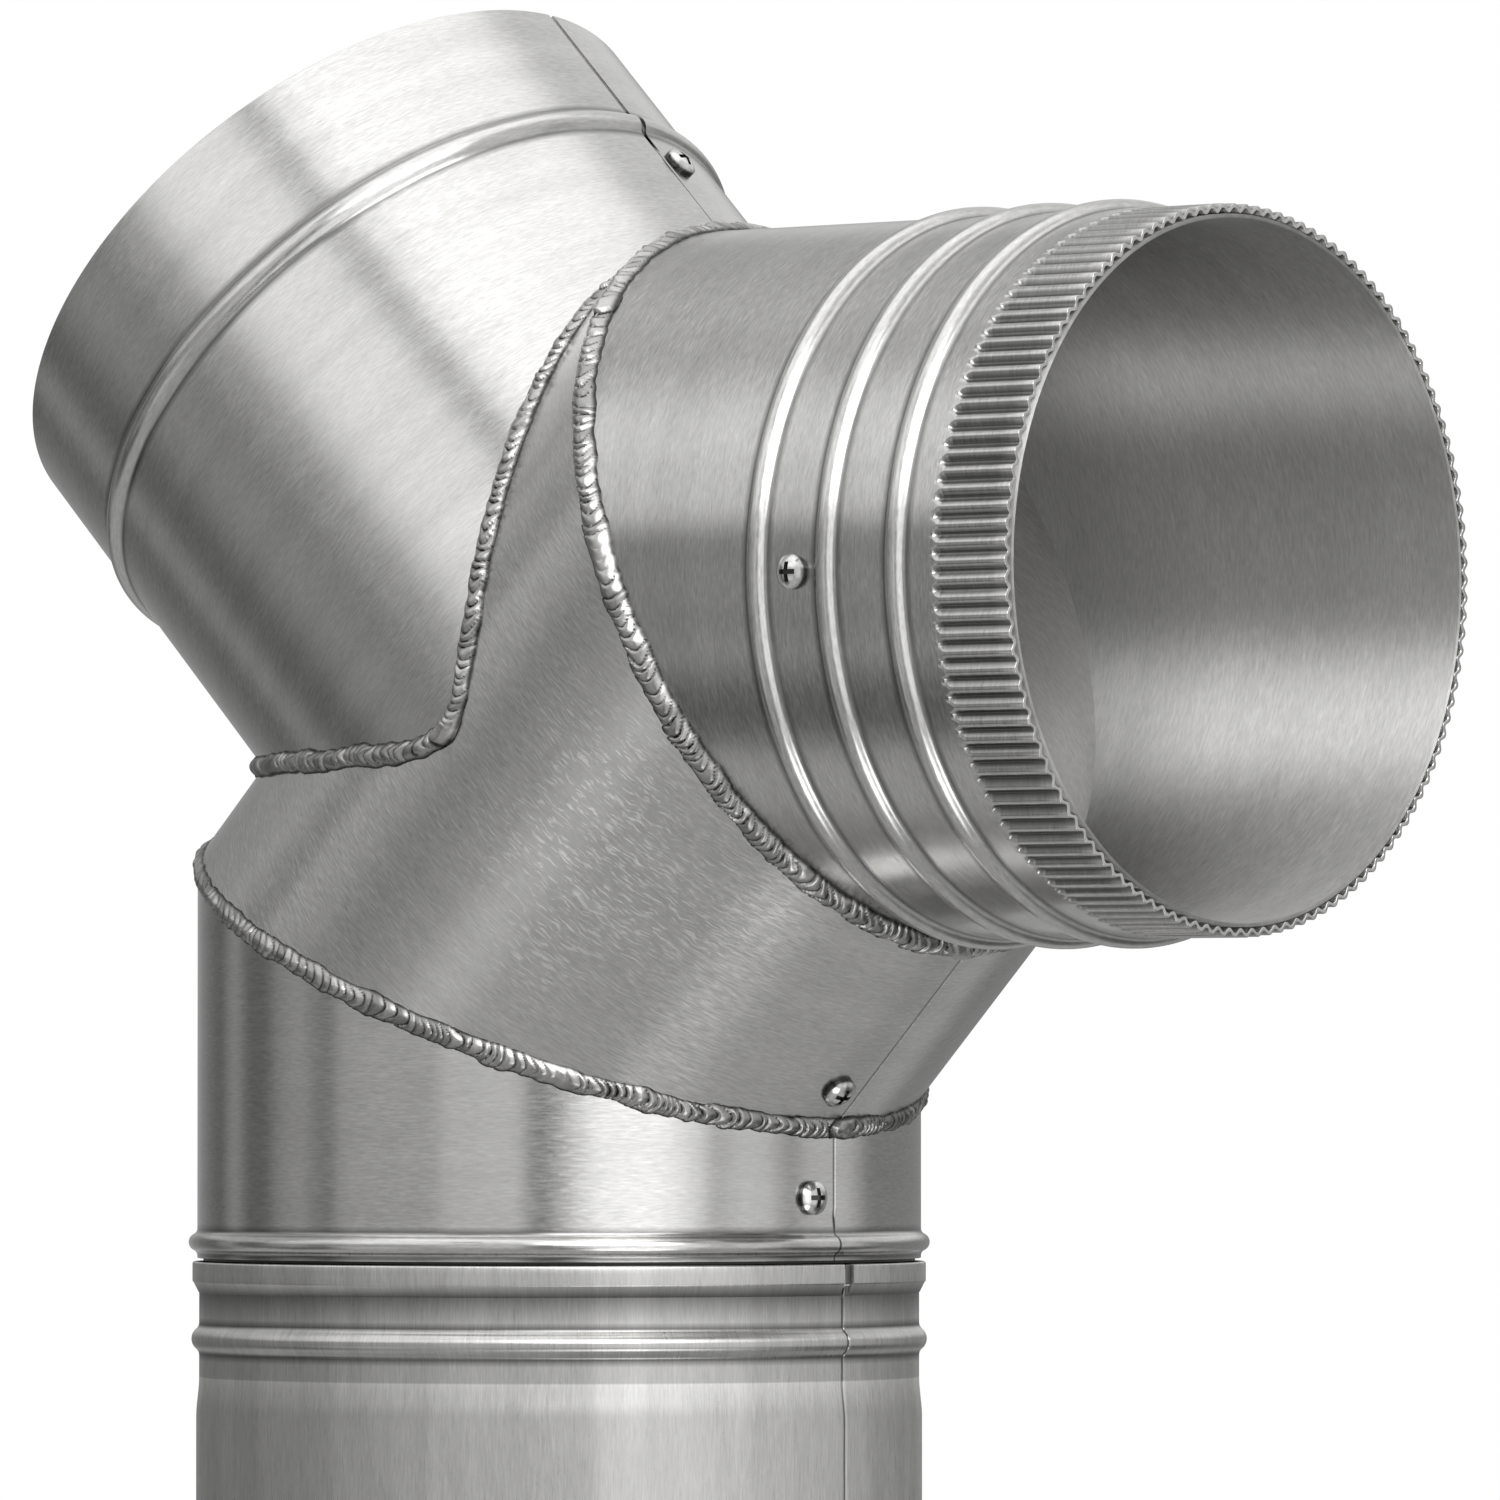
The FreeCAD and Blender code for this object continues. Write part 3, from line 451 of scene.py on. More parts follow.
def makeLowerPipe():
    p = lowerPipe
    radius, recess, shoulder, spigot, top = (p[key] for key in ("radius", "recess", "shoulder", "spigot", "top"))
    angles, off, drop = withSeam(p, radius, p["seamColumns"])
    nick = np.where((off > p["nickFrom"] - 0.01) & (off < p["nickTo"] - 0.1), p["nickDepth"], 0)
    band = top - p["shoulderHeight"]
    slope = band - p["shoulderSlope"]
    recessFoot = top - p["recessEnd"]
    swellFoot = recessFoot - p["swell"]
    bead = (recess, top - p["beadSetback"], *p["bead"])
    outer = softFoot(radius) + spaced((radius, soft), (radius, swellFoot), 5)[1:-1]
    for t in np.linspace(0, 1, 7):
        ease = t * t * (3 - 2 * t)
        outer.append((radius + (recess - radius) * ease, swellFoot + (recessFoot - swellFoot) * t))
    swellEnd = len(outer)
    outer += [(recess, recessFoot + 0.3)] + beadRows(*bead)
    outer += [(recess, slope - soft), (recess + soft, slope)]
    lipStart = len(outer)
    for edge, lip in ((band, p["lipFoot"]), (top, p["lipTop"])):
        outer += [(shoulder - inset - nick, edge + rise) for inset, rise in lip]
    outer = [(r - drop, s) for r, s in outer]
    spigotTop = top + p["spigotLength"]
    hidden = [
        (spigot + 0.3, top), (spigot, top + 0.2), (spigot, spigotTop), (spigot - sheet, spigotTop),
        (spigot - sheet, top - sheet), (shoulder - sheet, top - sheet), (shoulder - sheet, band),
        (recess - sheet, slope),
    ]
    hidden += beadRows(*bead, inset=sheet, steps=4)[::-1]
    hidden += [
        (recess - sheet, recessFoot), (radius - sheet, swellFoot), (radius - sheet, soft), (radius - sheet + soft, 0),
    ]
    rows, end = outer + hidden, len(outer)
    metal = tubeMetal("pipeSheet", "pipe", grainRound=False, roughness=0.30, anisotropy=0.88, seed=3.0,
                      tone=(0.58, 0.576, 0.566), contrast=0.2, clouds=0.1, grainLength=3.6)
    values = wallValues(rows, drop, end, beadFeet(p, bead[1]) + [slope])
    paintedShade = values["paintedShade"]
    # painted shadow in the gap under the collar, painted shade in the nick, darker over the recess, and a painted
    # highlight on the swell
    paintedShade[end:end + 3] = p["gapShade"]
    paintedShade[lipStart:end] += nick * p["nickShade"]
    paintedShade[swellEnd - 5:swellEnd] -= np.linspace(*p["swellHighlight"], 5)[:, None]
    paintedShade[swellEnd:lipStart] += p["recessDark"]
    values["inside"][end:end + 3] = 0
    return addTube("lowerPipe", rows, angles, "pipe", "lower_pipe", metal, values)


# Bottom collar
bottomCollar = {"beadRise": 3.3, "bead": (5.6, 1.8), "seamAngle": 0.3, "seamDepth": 0.35, "gapShade": 1.5}


def makeBottomCollar():
    p = bottomCollar
    radius = elbow["bodyRadius"]
    inside = radius - sheet
    angles, _, drop = withSeam(p, radius)
    fall = mitreSlope * np.cos(angles)
    bead = (radius, p["beadRise"], *p["bead"])
    beadEnd = p["beadRise"] + p["bead"][0] / 2 + elbow["beadMargin"]
    top, innerTop = (elbow["collarHeight"] - wall * fall for wall in (radius, inside))
    outer = softFoot(radius) + beadRows(*bead)[1:]
    outer += [(r - drop, s) for r, s in spaced((radius, beadEnd), (radius, top), 8)[1:]]
    inner = spaced((inside, innerTop), (inside, beadEnd), 3)[:-1]
    inner += beadRows(*bead, inset=sheet, steps=4)[:0:-1]
    inner += [(inside, soft), (inside + soft, 0)]
    rows = outer + inner
    values = wallValues(rows, drop, len(outer), beadFeet(p, p["beadRise"]))
    # painted shadow along the collar's lower edge, where it rests on the pipe's rim
    values["paintedShade"][0] = p["gapShade"]
    metal = tubeMetal("collarSheet", "collar", seed=7.0)
    return addTube("bottomCollar", rows, angles, "collar", "bottom_collar", metal, values)


# Middle gore
middleGore = {"seamAngle": 0.5, "seamDepth": 0.35, "openingRadius": 73.5}


def makeMiddleGore():
    p = middleGore
    radius, length = elbow["bodyRadius"], elbow["goreLength"]
    inside, middle = radius - sheet, radius - sheet / 2
    angles, _, drop = withSeam(p, radius)
    tilt = mitreSlope * np.cos(angles)
    # half the opening's length at each column, and 0 where there is none
    reach = np.sqrt(np.clip(p["openingRadius"] ** 2 - (middle * np.sin(angles)) ** 2, 0, None))
    reach = np.where(np.cos(angles) < 0, reach, 0)
    low, high = elbow["branchPosition"] - reach, elbow["branchPosition"] + reach
    wall = radius - drop
    outerLow = spaced((wall, radius * tilt), (wall, low), 5)
    outerHigh = spaced((wall, high), (wall, length - radius * tilt), 5)
    innerHigh = spaced((inside, length - inside * tilt), (inside, high), 2)
    innerLow = spaced((inside, low), (inside, inside * tilt), 2)
    rows = outerLow + outerHigh + innerHigh + innerLow
    number = np.arange(len(rows) * len(angles)).reshape(len(rows), len(angles))
    below, above = len(outerLow) - 1, len(outerLow)
    innerAbove = above + len(outerHigh) + len(innerHigh) - 1
    # where there is no opening, the rows above and below it are one
    closed = reach <= 0
    number[above] = np.where(closed, number[below], number[above])
    number[innerAbove] = np.where(closed, number[innerAbove + 1], number[innerAbove])
    right = np.roll(number, -1, axis=1)
    cells = []
    for row in range(len(rows)):
        if row in (below, innerAbove):
            continue
        after = (row + 1) % len(rows)
        cells += np.stack([number[row], right[row], right[after], number[after]], axis=-1).tolist()
    openPair = ~(closed & np.roll(closed, -1))
    for outside, within, order in ((below, innerAbove + 1, -1), (above, innerAbove, 1)):
        edge = np.stack([number[outside], right[outside], right[within], number[within]], axis=-1)
        cells += edge[openPair][:, ::order].tolist()
    values = wallValues(rows, drop, len(outerLow) + len(outerHigh), [])
    points, cells, values = withoutLoose(rowsToPoints(angles, rows), cells, values)
    metal = tubeMetal("goreSheet", "gore", seed=11.0, scratches=1.0, contrast=0.2)
    return addPiece("middleGore", points, cells, "gore", "middle_gore", metal, values)


# Outlet collar, three beads and a rim crimped into 126 flutes
outletCollar = {
    "beadSetback": 28.0, "beadPitch": 18.0, "bead": (6.4, 2.0), "crimpLength": 18.5, "plainEnd": 1.0,
    "flutes": 126, "fluteDepth": 1.0, "fluteSharpness": 1.3, "rampLength": 1.1, "rampNarrow": 2.2, "rimInside": 71.0,
    "innerRamp": 1.6,
    "plainPerFlute": 4, "crimpPerFlute": 12, "sharpFrom": 44,
    # rows of the flutes, by their distance from where the flutes begin
    "fluteRows": (0.0, 0.25, 0.5, 0.75, 1.1, 1.6, 2.6, 6.0, 10.0, 14.0),
    # how dark the painted shade in the valleys is in those rows, and over the sheet's edge to its inner side
    "valleyShade": (0.3, 0.6, 0.9) + (1.25,) * 8 + (0.6, 0, 0, 0, 1.4, 1.4),
}


def fluteValley(angles):
    # 0 on a ridge and 1 at the bottom of a valley
    return (0.5 + 0.5 * np.cos(angles * outletCollar["flutes"])) ** outletCollar["fluteSharpness"]


def fluteRows(angles, start, end):
    # scalloped rows, which begin over a short ramp, then the sheet's edge and its inner side
    p = outletCollar
    radius = elbow["outletRadius"]
    valley = fluteValley(angles)
    rows = []
    for distance in p["fluteRows"]:
        share = min(distance / p["rampLength"], 1.0)
        # the valley starts as a small rounded dimple that widens into the full flute
        narrow = 1 + p["rampNarrow"] * (1 - share)
        rows.append((radius - p["fluteDepth"] * math.sqrt(share) * valley ** narrow, start + distance))
    rim = radius - p["fluteDepth"] * valley
    inner = np.maximum(rim - sheet, p["rimInside"])
    rows += [(rim, end - soft), (rim - soft * 0.3, end - soft * 0.3), (rim - soft, end)]
    rows += [(inner + soft, end), (inner, end - soft), (inner, start + p["innerRamp"]), (radius - sheet, start)]
    return rows


def makeOutletCollar():
    p = outletCollar
    radius, length = elbow["outletRadius"], elbow["outletLength"]
    inside = radius - sheet
    crimpFoot = length - p["crimpLength"]
    plainAngles, crimpAngles = (evenTurn(p["flutes"] * p[key]) for key in ("plainPerFlute", "crimpPerFlute"))
    beads = [length - p["beadSetback"] - count * p["beadPitch"] for count in (2, 1, 0)]
    firstFoot = beads[0] - p["bead"][0] / 2 - elbow["beadMargin"]
    outer = spaced((radius, radius * mitreSlope * np.cos(plainAngles)), (radius, firstFoot), 3)[:-1]
    inner = [(inside, crimpFoot - p["plainEnd"])]
    for middle in beads:
        outer += beadRows(radius, middle, *p["bead"], steps=6)
    for middle in beads[::-1]:
        inner += beadRows(radius, middle, *p["bead"], inset=sheet, steps=3)[::-1]
    outer += [(radius, crimpFoot - p["plainEnd"])]
    inner += [(inside, inside * mitreSlope * np.cos(plainAngles))]
    plainRows, rim = inner + outer, fluteRows(crimpAngles, crimpFoot, length)
    plainCount, crimpCount = len(plainAngles), len(crimpAngles)
    shift = len(plainRows) * plainCount
    cells = ringCells(len(plainRows), plainCount)[:-1].reshape(-1, 4).tolist()
    cells += (ringCells(len(rim), crimpCount)[:-1].reshape(-1, 4) + shift).tolist()
    # each plain cell meets three crimped ones, outside below the flutes and inside behind them
    joins = (((len(plainRows) - 1) * plainCount, shift, False), (0, shift + (len(rim) - 1) * crimpCount, True))
    for plainStart, crimpStart, turned in joins:
        for j in range(plainCount):
            near, ahead = plainStart + j, plainStart + (j + 1) % plainCount
            fine = [crimpStart + (3 * j + k) % crimpCount for k in range(4)]
            corners = [
                [near, fine[1], fine[0]], [near, fine[2], fine[1]], [near, ahead, fine[2]], [ahead, fine[3], fine[2]],
            ]
            cells += [corner[::-1] for corner in corners] if turned else corners
    points = [rowsToPoints(plainAngles, plainRows).reshape(-1, 3), rowsToPoints(crimpAngles, rim).reshape(-1, 3)]
    plain = wallValues(plainRows, np.zeros(plainCount), len(plainRows), beadFeet(p, *beads))["paintedShade"]
    plain[:len(inner)] = 0
    # painted shade in the flute valleys and on the inner side behind them
    valleyShade = np.outer(p["valleyShade"], fluteValley(crimpAngles))
    paintedShade = np.concatenate([plain.ravel(), valleyShade.ravel()])
    values = {"paintedShade": paintedShade, "inside": np.zeros_like(paintedShade)}
    metal = tubeMetal("outletSheet", "outlet", seed=17.0, contrast=0.22, clouds=0.06)
    return addPiece("outletCollar", np.concatenate(points), cells, "outlet", "outlet_collar", metal,
                    values, p["sharpFrom"])


# Sleeve in the outlet, with painted shade that deepens towards the mitre, so that its end fades into the gore's wall
# behind it
outletSleeve = {"outer": 70.9, "inner": 70.1, "columns": 360, "deepShade": (0.08, 0.18, 0.28, 0.36, 0.4)}


def makeOutletSleeve():
    p = outletSleeve
    outer, inner = p["outer"], p["inner"]
    angles = evenTurn(p["columns"])
    tilt = mitreSlope * np.cos(angles)
    edge = elbow["outletLength"] - soft
    rows = spaced((outer, outer * tilt), (outer, edge), 2)[:-1] + roundedRim(outer, inner, elbow["outletLength"])
    rows += spaced((inner, edge), (inner, inner * tilt), 12)[1:]
    paintedShade = np.zeros((len(rows), len(angles)))
    # painted shade deep in the sleeve, darkest at its end by the mitre
    paintedShade[-len(p["deepShade"]):] = np.array(p["deepShade"])[:, None]
    values = {"paintedShade": paintedShade, "inside": np.zeros_like(paintedShade)}
    metal = tubeMetal("sleeveSheet", "outlet", seed=23.0, roughness=0.56, anisotropy=1.0, contrast=0.24,
                      tone=(0.60, 0.596, 0.588), grainWidth=0.36, grainLength=3.0)
    return addTube("outletSleeve", rows, angles, "outlet", "outlet_sleeve", metal, values)


# Inspection branch, with a socket whose seam stays open
inspectionBranch = {
    "beadSetback": 34.0, "bead": (7.0, 1.6), "seamAngle": 7.0, "seamDepth": 0.18, "socketGap": 1.5, "beadCut": 0.8,
    "cutShade": 0.9,
}


def saddleRise(radius, angles):
    # how far up the branch the gore's wall lies, at each angle
    return np.sqrt(elbow["bodyRadius"] ** 2 - (radius * np.sin(angles)) ** 2)


def makeInspectionBranch():
    p = inspectionBranch
    radius, rim = elbow["branchRadius"], elbow["branchLength"]
    inside, gap = radius - sheet, p["socketGap"] / 2
    angles, off, drop = withSeam(p, radius, (0.1, 0.25, 0.45, gap - 0.02, gap, gap + 0.5))
    inGap = np.abs(off) < gap - 0.01
    middle = rim - p["beadSetback"]
    bead = (radius, middle, *p["bead"])
    reach = p["bead"][0] / 2 + elbow["beadMargin"]
    beadFoot, beadTop = middle - reach, middle + reach
    straight = spaced((radius, saddleRise(radius, angles)), (radius, beadFoot), 8)[:-1]
    outer = [(r - drop, s) for r, s in straight]
    outer += [(r - np.where(inGap, p["beadCut"], 0), s) for r, s in beadRows(*bead)]
    levels = np.linspace(beadTop, rim - soft, 6)[1:].tolist()
    gapFoot = len(outer) - 1
    outer += [(radius, level) for level in levels] + [(radius - soft, rim)]
    inner = [(inside + soft, rim)] + [(inside, level) for level in levels[::-1]]
    inner += beadRows(*bead, inset=sheet)[::-1]
    inner += spaced((inside, beadFoot), (inside, saddleRise(inside, angles)), 3)[1:]
    rows = outer + inner
    count = len(angles)
    gapTop = len(outer) + len(levels) + 1
    # cells in the gap are left out, and its two sides and its foot are closed
    cells = ringCells(len(rows), count)
    keep = np.ones(cells.shape[:2], bool)
    gapCell = inGap | (np.roll(inGap, -1) & ~inGap)
    keep[gapFoot:gapTop] = ~gapCell
    faces = cells[keep].tolist()
    number = np.arange(len(rows) * count).reshape(len(rows), count)
    inGapCells = np.flatnonzero(gapCell)
    left, right = int(inGapCells[0]), (int(inGapCells[-1]) + 1) % count
    for step in range(len(levels) + 1):
        low, high = gapFoot + step, gapFoot + step + 1
        lowIn, highIn = gapTop - step, gapTop - step - 1
        faces.append([number[row, left] for row in (low, high, highIn, lowIn)])
        faces.append([number[row, right] for row in (lowIn, highIn, high, low)])
    floorColumns = [column % count for column in range(left, left + int(gapCell.sum()) + 1)]
    for near, far in zip(floorColumns, floorColumns[1:]):
        faces.append([number[gapFoot, far], number[gapFoot, near], number[gapTop, near], number[gapTop, far]])
    values = wallValues(rows, drop, len(outer), beadFeet(p, middle), (0, gapFoot + 1))
    # painted shade on the bead where the open seam cuts it
    values["paintedShade"][len(straight):gapFoot + 1] += inGap * p["cutShade"]
    points, faces, values = withoutLoose(rowsToPoints(angles, rows), faces, values)
    metal = tubeMetal("branchSheet", "branch", seed=29.0, contrast=0.2, clouds=0.06)
    return addPiece("inspectionBranch", points, faces, "branch", "inspection_branch", metal, values)


# Welds
weld = {
    "width": 5.0, "sunk": 0.15, "ripplePitch": 2.2, "rippleDepth": 0.62, "stationsPerRipple": 10,
    "acrossSteps": 14, "jitter": 0.5, "wander": 0.4, "unevenSize": 0.65, "unevenShade": 0.22,
    "tipRound": 2.8, "tongueLength": 5.6, "tongueRise": 0.8, "tongueGroove": 0.45, "sharpFrom": 60,
    # amounts and numbers of waves round the weld: edges, lean, curve and crown
    "edgeWaves": ((0.6, 24), (0.4, 90)), "lean": (0.4, 30), "curveSway": (0.35, 40), "crownSway": (0.16, 50),
    # level of a smooth stretch between joins in painted shade at 0 and crests at 1
    "evenDome": 0.8,
    # how far a lump adds to width and height, how tips even out the ripples, and how dark the painted shade in a
    # tip's groove is
    "lumpWidth": 0.14, "lumpRise": 0.6, "tipEven": 0.92, "grooveShade": 0.93,
    # how far ripples and tips sink towards the sides
    "rippleSink": 0.8, "tipSink": 0.7,
    # start, end, from and to of the painted shade in the joins and along the sides, of the specks, and of the
    # roughness
    "tone": (0.46, 0.456, 0.447), "joins": (0.1, 0.6, 0.1, 1.0), "sides": (0.66, 0.92, 1.0, 0.14),
    "specks": (0.3, 0.7, 0.9, 1.06), "rough": (0.3, 0.7, 0.24, 0.4), "speckScale": 900.0,
}
lumps = {
    # weld: share of the way round, half its length, extra height, and how much smoother it is, in millimetres
    "bottom_weld": [(0.865, 4.5, 0.2, 0.7)],
    "outlet_weld": [(0.742, 4.0, 0.2, 0.6)],
    "branch_weld": [(0.2, 4.0, 0.3, 0.6), (0.86, 3.4, 0.2, 0.5)],
}
tongues = {
    # weld: share of the way round where a run ends in a rounded tip, and which way the run lies
    "bottom_weld": [(0.002, 1)],
    "outlet_weld": [(0.6165, -1), (0.996, -1)],
    "branch_weld": [(0.7485, 1), (0.2515, -1), (0.988, -1)],
}


def weldMetal():
    # bare weld: smooth bright ripples, with painted shade in the joins between them and along each side
    p = weld
    material, tree, shader, place = newMetal("weldBead")
    noise = noiseOf(tree, place, p["speckScale"], 3.0)
    # painted shade in the joins between ripples and along the weld's sides
    joins = mapped(tree, storedValue(tree, "ripple"), *p["joins"], smooth=True)
    sides = mapped(tree, storedValue(tree, "across"), *p["sides"], smooth=True)
    level = product(tree, joins, sides, mapped(tree, noise, *p["specks"]), storedValue(tree, "shade"))
    colour = vectorOf(tree, "SCALE", p["tone"], scale=level)
    setInputs(tree, shader, {"Base Color": colour, "Roughness": mapped(tree, noise, *p["rough"])})
    return material


sideways = np.array([0.0, 1.0, 0.0])


def tiltAxis(tilt):
    return np.array([math.sin(math.radians(tilt)), 0.0, math.cos(math.radians(tilt))])


def unit(vectors):
    return vectors / np.linalg.norm(vectors, axis=-1, keepdims=True)


def mitrePath(centre, tilts, radius):
    # points round a mitre, and the outward normals of both tubes there
    below, above = (tiltAxis(tilt) for tilt in tilts)
    longWay = np.cross(sideways, unit(below + above))

    def path(share):
        turn = wholeTurn * np.asarray(share)[:, None]
        offset = sideways * radius * np.sin(turn)
        offset = offset + longWay * radius / math.cos(halfMitre) * np.cos(turn)
        normals = [unit(offset - np.outer(offset @ axis, axis)) for axis in (below, above)]
        return np.array(centre) + offset, normals

    return path


def saddlePath():
    # points round the foot of the branch, and the outward normals of the gore and the branch
    gore, branch = tiltAxis(45), tiltAxis(-45)
    radius = elbow["branchRadius"]

    def path(share):
        turn = wholeTurn * np.asarray(share)[:, None]
        wall = (gore * np.cos(turn) + sideways * np.sin(turn)) * radius
        offset = wall + branch * saddleRise(radius, turn)
        goreNormal = unit(offset - np.outer(offset @ gore, gore))
        return np.array(branchFoot) + offset, [goreNormal, unit(wall)]

    return path


def closedWave(chance, stations, cycles):
    # a smooth wandering value, mostly between -1 and 1, that meets itself again after one turn
    turn = evenTurn(stations)
    counts = np.round(cycles * chance.uniform(0.5, 1.5, 6))
    return sum(np.sin(turn * count + chance.uniform(0, wholeTurn)) for count in counts) / 2.2


def makeWeld(name, path, node, seed, material, crown, bend, lifts=(0, 0)):
    p = weld
    chance = np.random.default_rng(seed)
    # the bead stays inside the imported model's box
    lowest, highest = (np.array(corner) / mm for corner in cadBox)
    fine = np.linspace(0, 1, 2001)
    places, _ = path(fine)
    walked = np.concatenate([[0], np.cumsum(np.linalg.norm(np.diff(places, axis=0), axis=1))])
    length = walked[-1]
    ripples = int(round(length / p["ripplePitch"]))
    steps = 1 + p["jitter"] * chance.uniform(-1, 1, ripples)
    edges = np.concatenate([[0], np.cumsum(steps)]) / steps.sum() * length
    sizes = 1 + p["unevenSize"] * chance.uniform(-1, 1, ripples)
    shades = 1 - p["unevenShade"] * chance.uniform(0, 2, ripples)
    stations = ripples * p["stationsPerRipple"]
    distance = np.linspace(0, length, stations, endpoint=False)
    share = np.interp(distance, walked, fine)
    points, (firstNormal, secondNormal) = path(share)
    ahead = unit(path(share + 1e-4)[0] - path(share - 1e-4)[0])
    outward = unit(firstNormal + secondNormal)
    outward = unit(outward - ahead * np.sum(outward * ahead, axis=1)[:, None])
    phase = np.interp(distance, edges, np.arange(ripples + 1))

    def awayFrom(spot):
        # millimetres along the weld from a share of the way round
        return (distance - np.interp(spot, fine, walked) + length / 2) % length - length / 2

    def wave(amount, cycles):
        return amount * closedWave(chance, stations, cycles)

    extra, calm = np.zeros(stations), np.zeros(stations)
    for spot, half, height, smooth in lumps[node]:
        shape = np.exp(-(awayFrom(spot) / half) ** 2)
        extra, calm = extra + height * shape, np.maximum(calm, smooth * shape)
    firstHalf, secondHalf = (
        p["width"] / 2 * (1 + p["lumpWidth"] * extra) + p["wander"] * sum(wave(*each) for each in p["edgeWaves"])
        for _ in range(2)
    )
    lean = wave(*p["lean"])
    curve = bend * (1 + wave(*p["curveSway"]))
    rise = crown + extra * p["lumpRise"] + wave(*p["crownSway"])
    firstSide = unit(np.cross(ahead, firstNormal))
    secondSide = -unit(np.cross(ahead, secondNormal))
    firstEdge = points + firstSide * firstHalf[:, None] + firstNormal * (lifts[0] - p["sunk"])
    secondEdge = points + secondSide * secondHalf[:, None] + secondNormal * (lifts[1] - p["sunk"])
    # the crown is carried by a control point over the corner
    control = points + outward * (rise * 2)[:, None]
    rows, values = [], {"ripple": [], "across": [], "shade": []}
    for v in np.linspace(-1, 1, p["acrossSteps"] + 1):
        t = (v + 1) / 2
        local = phase - curve * v * v + lean * v
        index = np.floor(local).astype(int) % ripples
        # each ripple swells fast and falls off slowly, except where the weld is smooth
        dome = 1 - np.abs(2 * (local % 1) ** 0.6 - 1) ** 2.4
        dome = dome * (1 - calm) + p["evenDome"] * calm
        body, groove = np.zeros(stations), np.zeros(stations)
        for spot, turned in tongues[node]:
            within = awayFrom(spot) * turned + p["tipRound"] * (1 - v * v)
            deepShade = np.exp(-(np.maximum(within, 0) / p["tongueLength"]) ** 4)
            body = np.maximum(body, np.clip(within / 0.5, 0, 1) * deepShade)
            groove = np.maximum(groove, np.exp(-((within + 0.55) / 0.6) ** 4))
        dome = dome * (1 - body * p["tipEven"]) + p["evenDome"] * body
        swell = p["rippleDepth"] * (dome - 0.6) * sizes[index] * (1 - v * v * p["rippleSink"])
        tip = p["tongueRise"] * body - p["tongueGroove"] * groove
        swell = swell + tip * (1 - v * v * p["tipSink"])
        place = firstEdge * (1 - t) ** 2 + control * 2 * t * (1 - t) + secondEdge * t ** 2
        rows.append(np.clip(place + outward * swell[:, None], lowest, highest))
        even = np.maximum(calm, body)
        values["ripple"].append(dome)
        values["across"].append(np.full(stations, abs(v)))
        # random tone for each ripple, with painted shade in a tip's groove
        values["shade"].append((shades[index] * (1 - even) + even) * (1 - p["grooveShade"] * groove))
    # the last row closes the bead behind the corner
    rows.append(points - outward * (p["sunk"] * 2.5))
    for key, number in (("ripple", 0.0), ("across", 1.0), ("shade", 1.0)):
        values[key].append(np.full(stations, number))
    cells = ringCells(len(rows), stations).reshape(-1, 4)
    values = {key: np.array(numbers) for key, numbers in values.items()}
    return addPiece(name, np.array(rows).reshape(-1, 3), cells, "whole", node, material, values, p["sharpFrom"])


makeLowerPipe()
makeBottomCollar()
makeMiddleGore()
makeOutletCollar()
makeOutletSleeve()
makeInspectionBranch()
weldBead = weldMetal()
meanRadius = (elbow["bodyRadius"] + elbow["outletRadius"]) / 2
makeWeld("bottomWeld", mitrePath(lowerMitre, (0, 45), elbow["bodyRadius"]), "bottom_weld", 5, weldBead, 1.15, -1.1)
makeWeld("outletWeld", mitrePath(upperMitre, (45, 90), meanRadius), "outlet_weld", 6, weldBead, 1.3, -1.2, (1, -1))
makeWeld("branchWeld", saddlePath(), "branch_weld", 7, weldBead, 1.7, 1.2)

# Screws keep their solids, with their edges softened
screws = {
    "edgeWidth": 0.14, "tone": (0.74, 0.74, 0.73), "roughness": 0.16, "speckScale": 1400.0,
    "specks": (0.3, 0.7, 0.9, 1.05),
    # heights over the wall, or distances from the middle, between which the painted shade sets in
    "sideWall": (0.66, 1.485), "sideDark": 0.1, "recessEdge": (2.05, 2.3575), "recessDepth": (1.2, 2.0),
    "recessDark": 0.2, "insideTube": (-0.6, -0.3),
    "places": {
        # node: frame, radius of its tube, place along it, angle round it
        "collar_screw": ("collar", 75.0, 12.9, -4.9),
        "gore_screw": ("gore", 75.0, 41.0, -4.8),
        "outlet_screw": ("outlet", 73.0, 48.2, -89.2),
        "branch_screw": ("branch", 74.5, 104.3, 10.8),
    },
}


def screwMetal(name, point, axis):
    # painted shade on the head's low side wall and in its recess, for the sheet and the shade that they mirror
    p = {key: tuple(number * mm for number in screws[key]) for key in (
        "sideWall", "recessEdge", "recessDepth", "insideTube")}
    material, tree, shader, place = newMetal(name)
    speck = mapped(tree, noiseOf(tree, place, screws["speckScale"], 2.0), *screws["specks"])
    offset = vectorOf(tree, "SUBTRACT", place, tuple(point))
    height = vectorOf(tree, "DOT_PRODUCT", offset, tuple(axis))
    lift = vectorOf(tree, "SCALE", tuple(axis), scale=height)
    away = vectorOf(tree, "LENGTH", vectorOf(tree, "SUBTRACT", offset, lift))
    inTube = mapped(tree, height, *p["insideTube"], 1.0, 0.0)
    head = mathOf(tree, "MAXIMUM", mapped(tree, height, *p["sideWall"], screws["sideDark"], 1.0), inTube)
    sunk = mapped(tree, height, *p["recessDepth"], screws["recessDark"], 1.0)
    recess = mathOf(tree, "MAXIMUM", mathOf(tree, "MAXIMUM", sunk, mapped(tree, away, *p["recessEdge"])), inTube)
    level = product(tree, speck, head, recess)
    colour = vectorOf(tree, "SCALE", screws["tone"], scale=level)
    setInputs(tree, shader, {"Base Color": colour, "Roughness": screws["roughness"]})
    return material


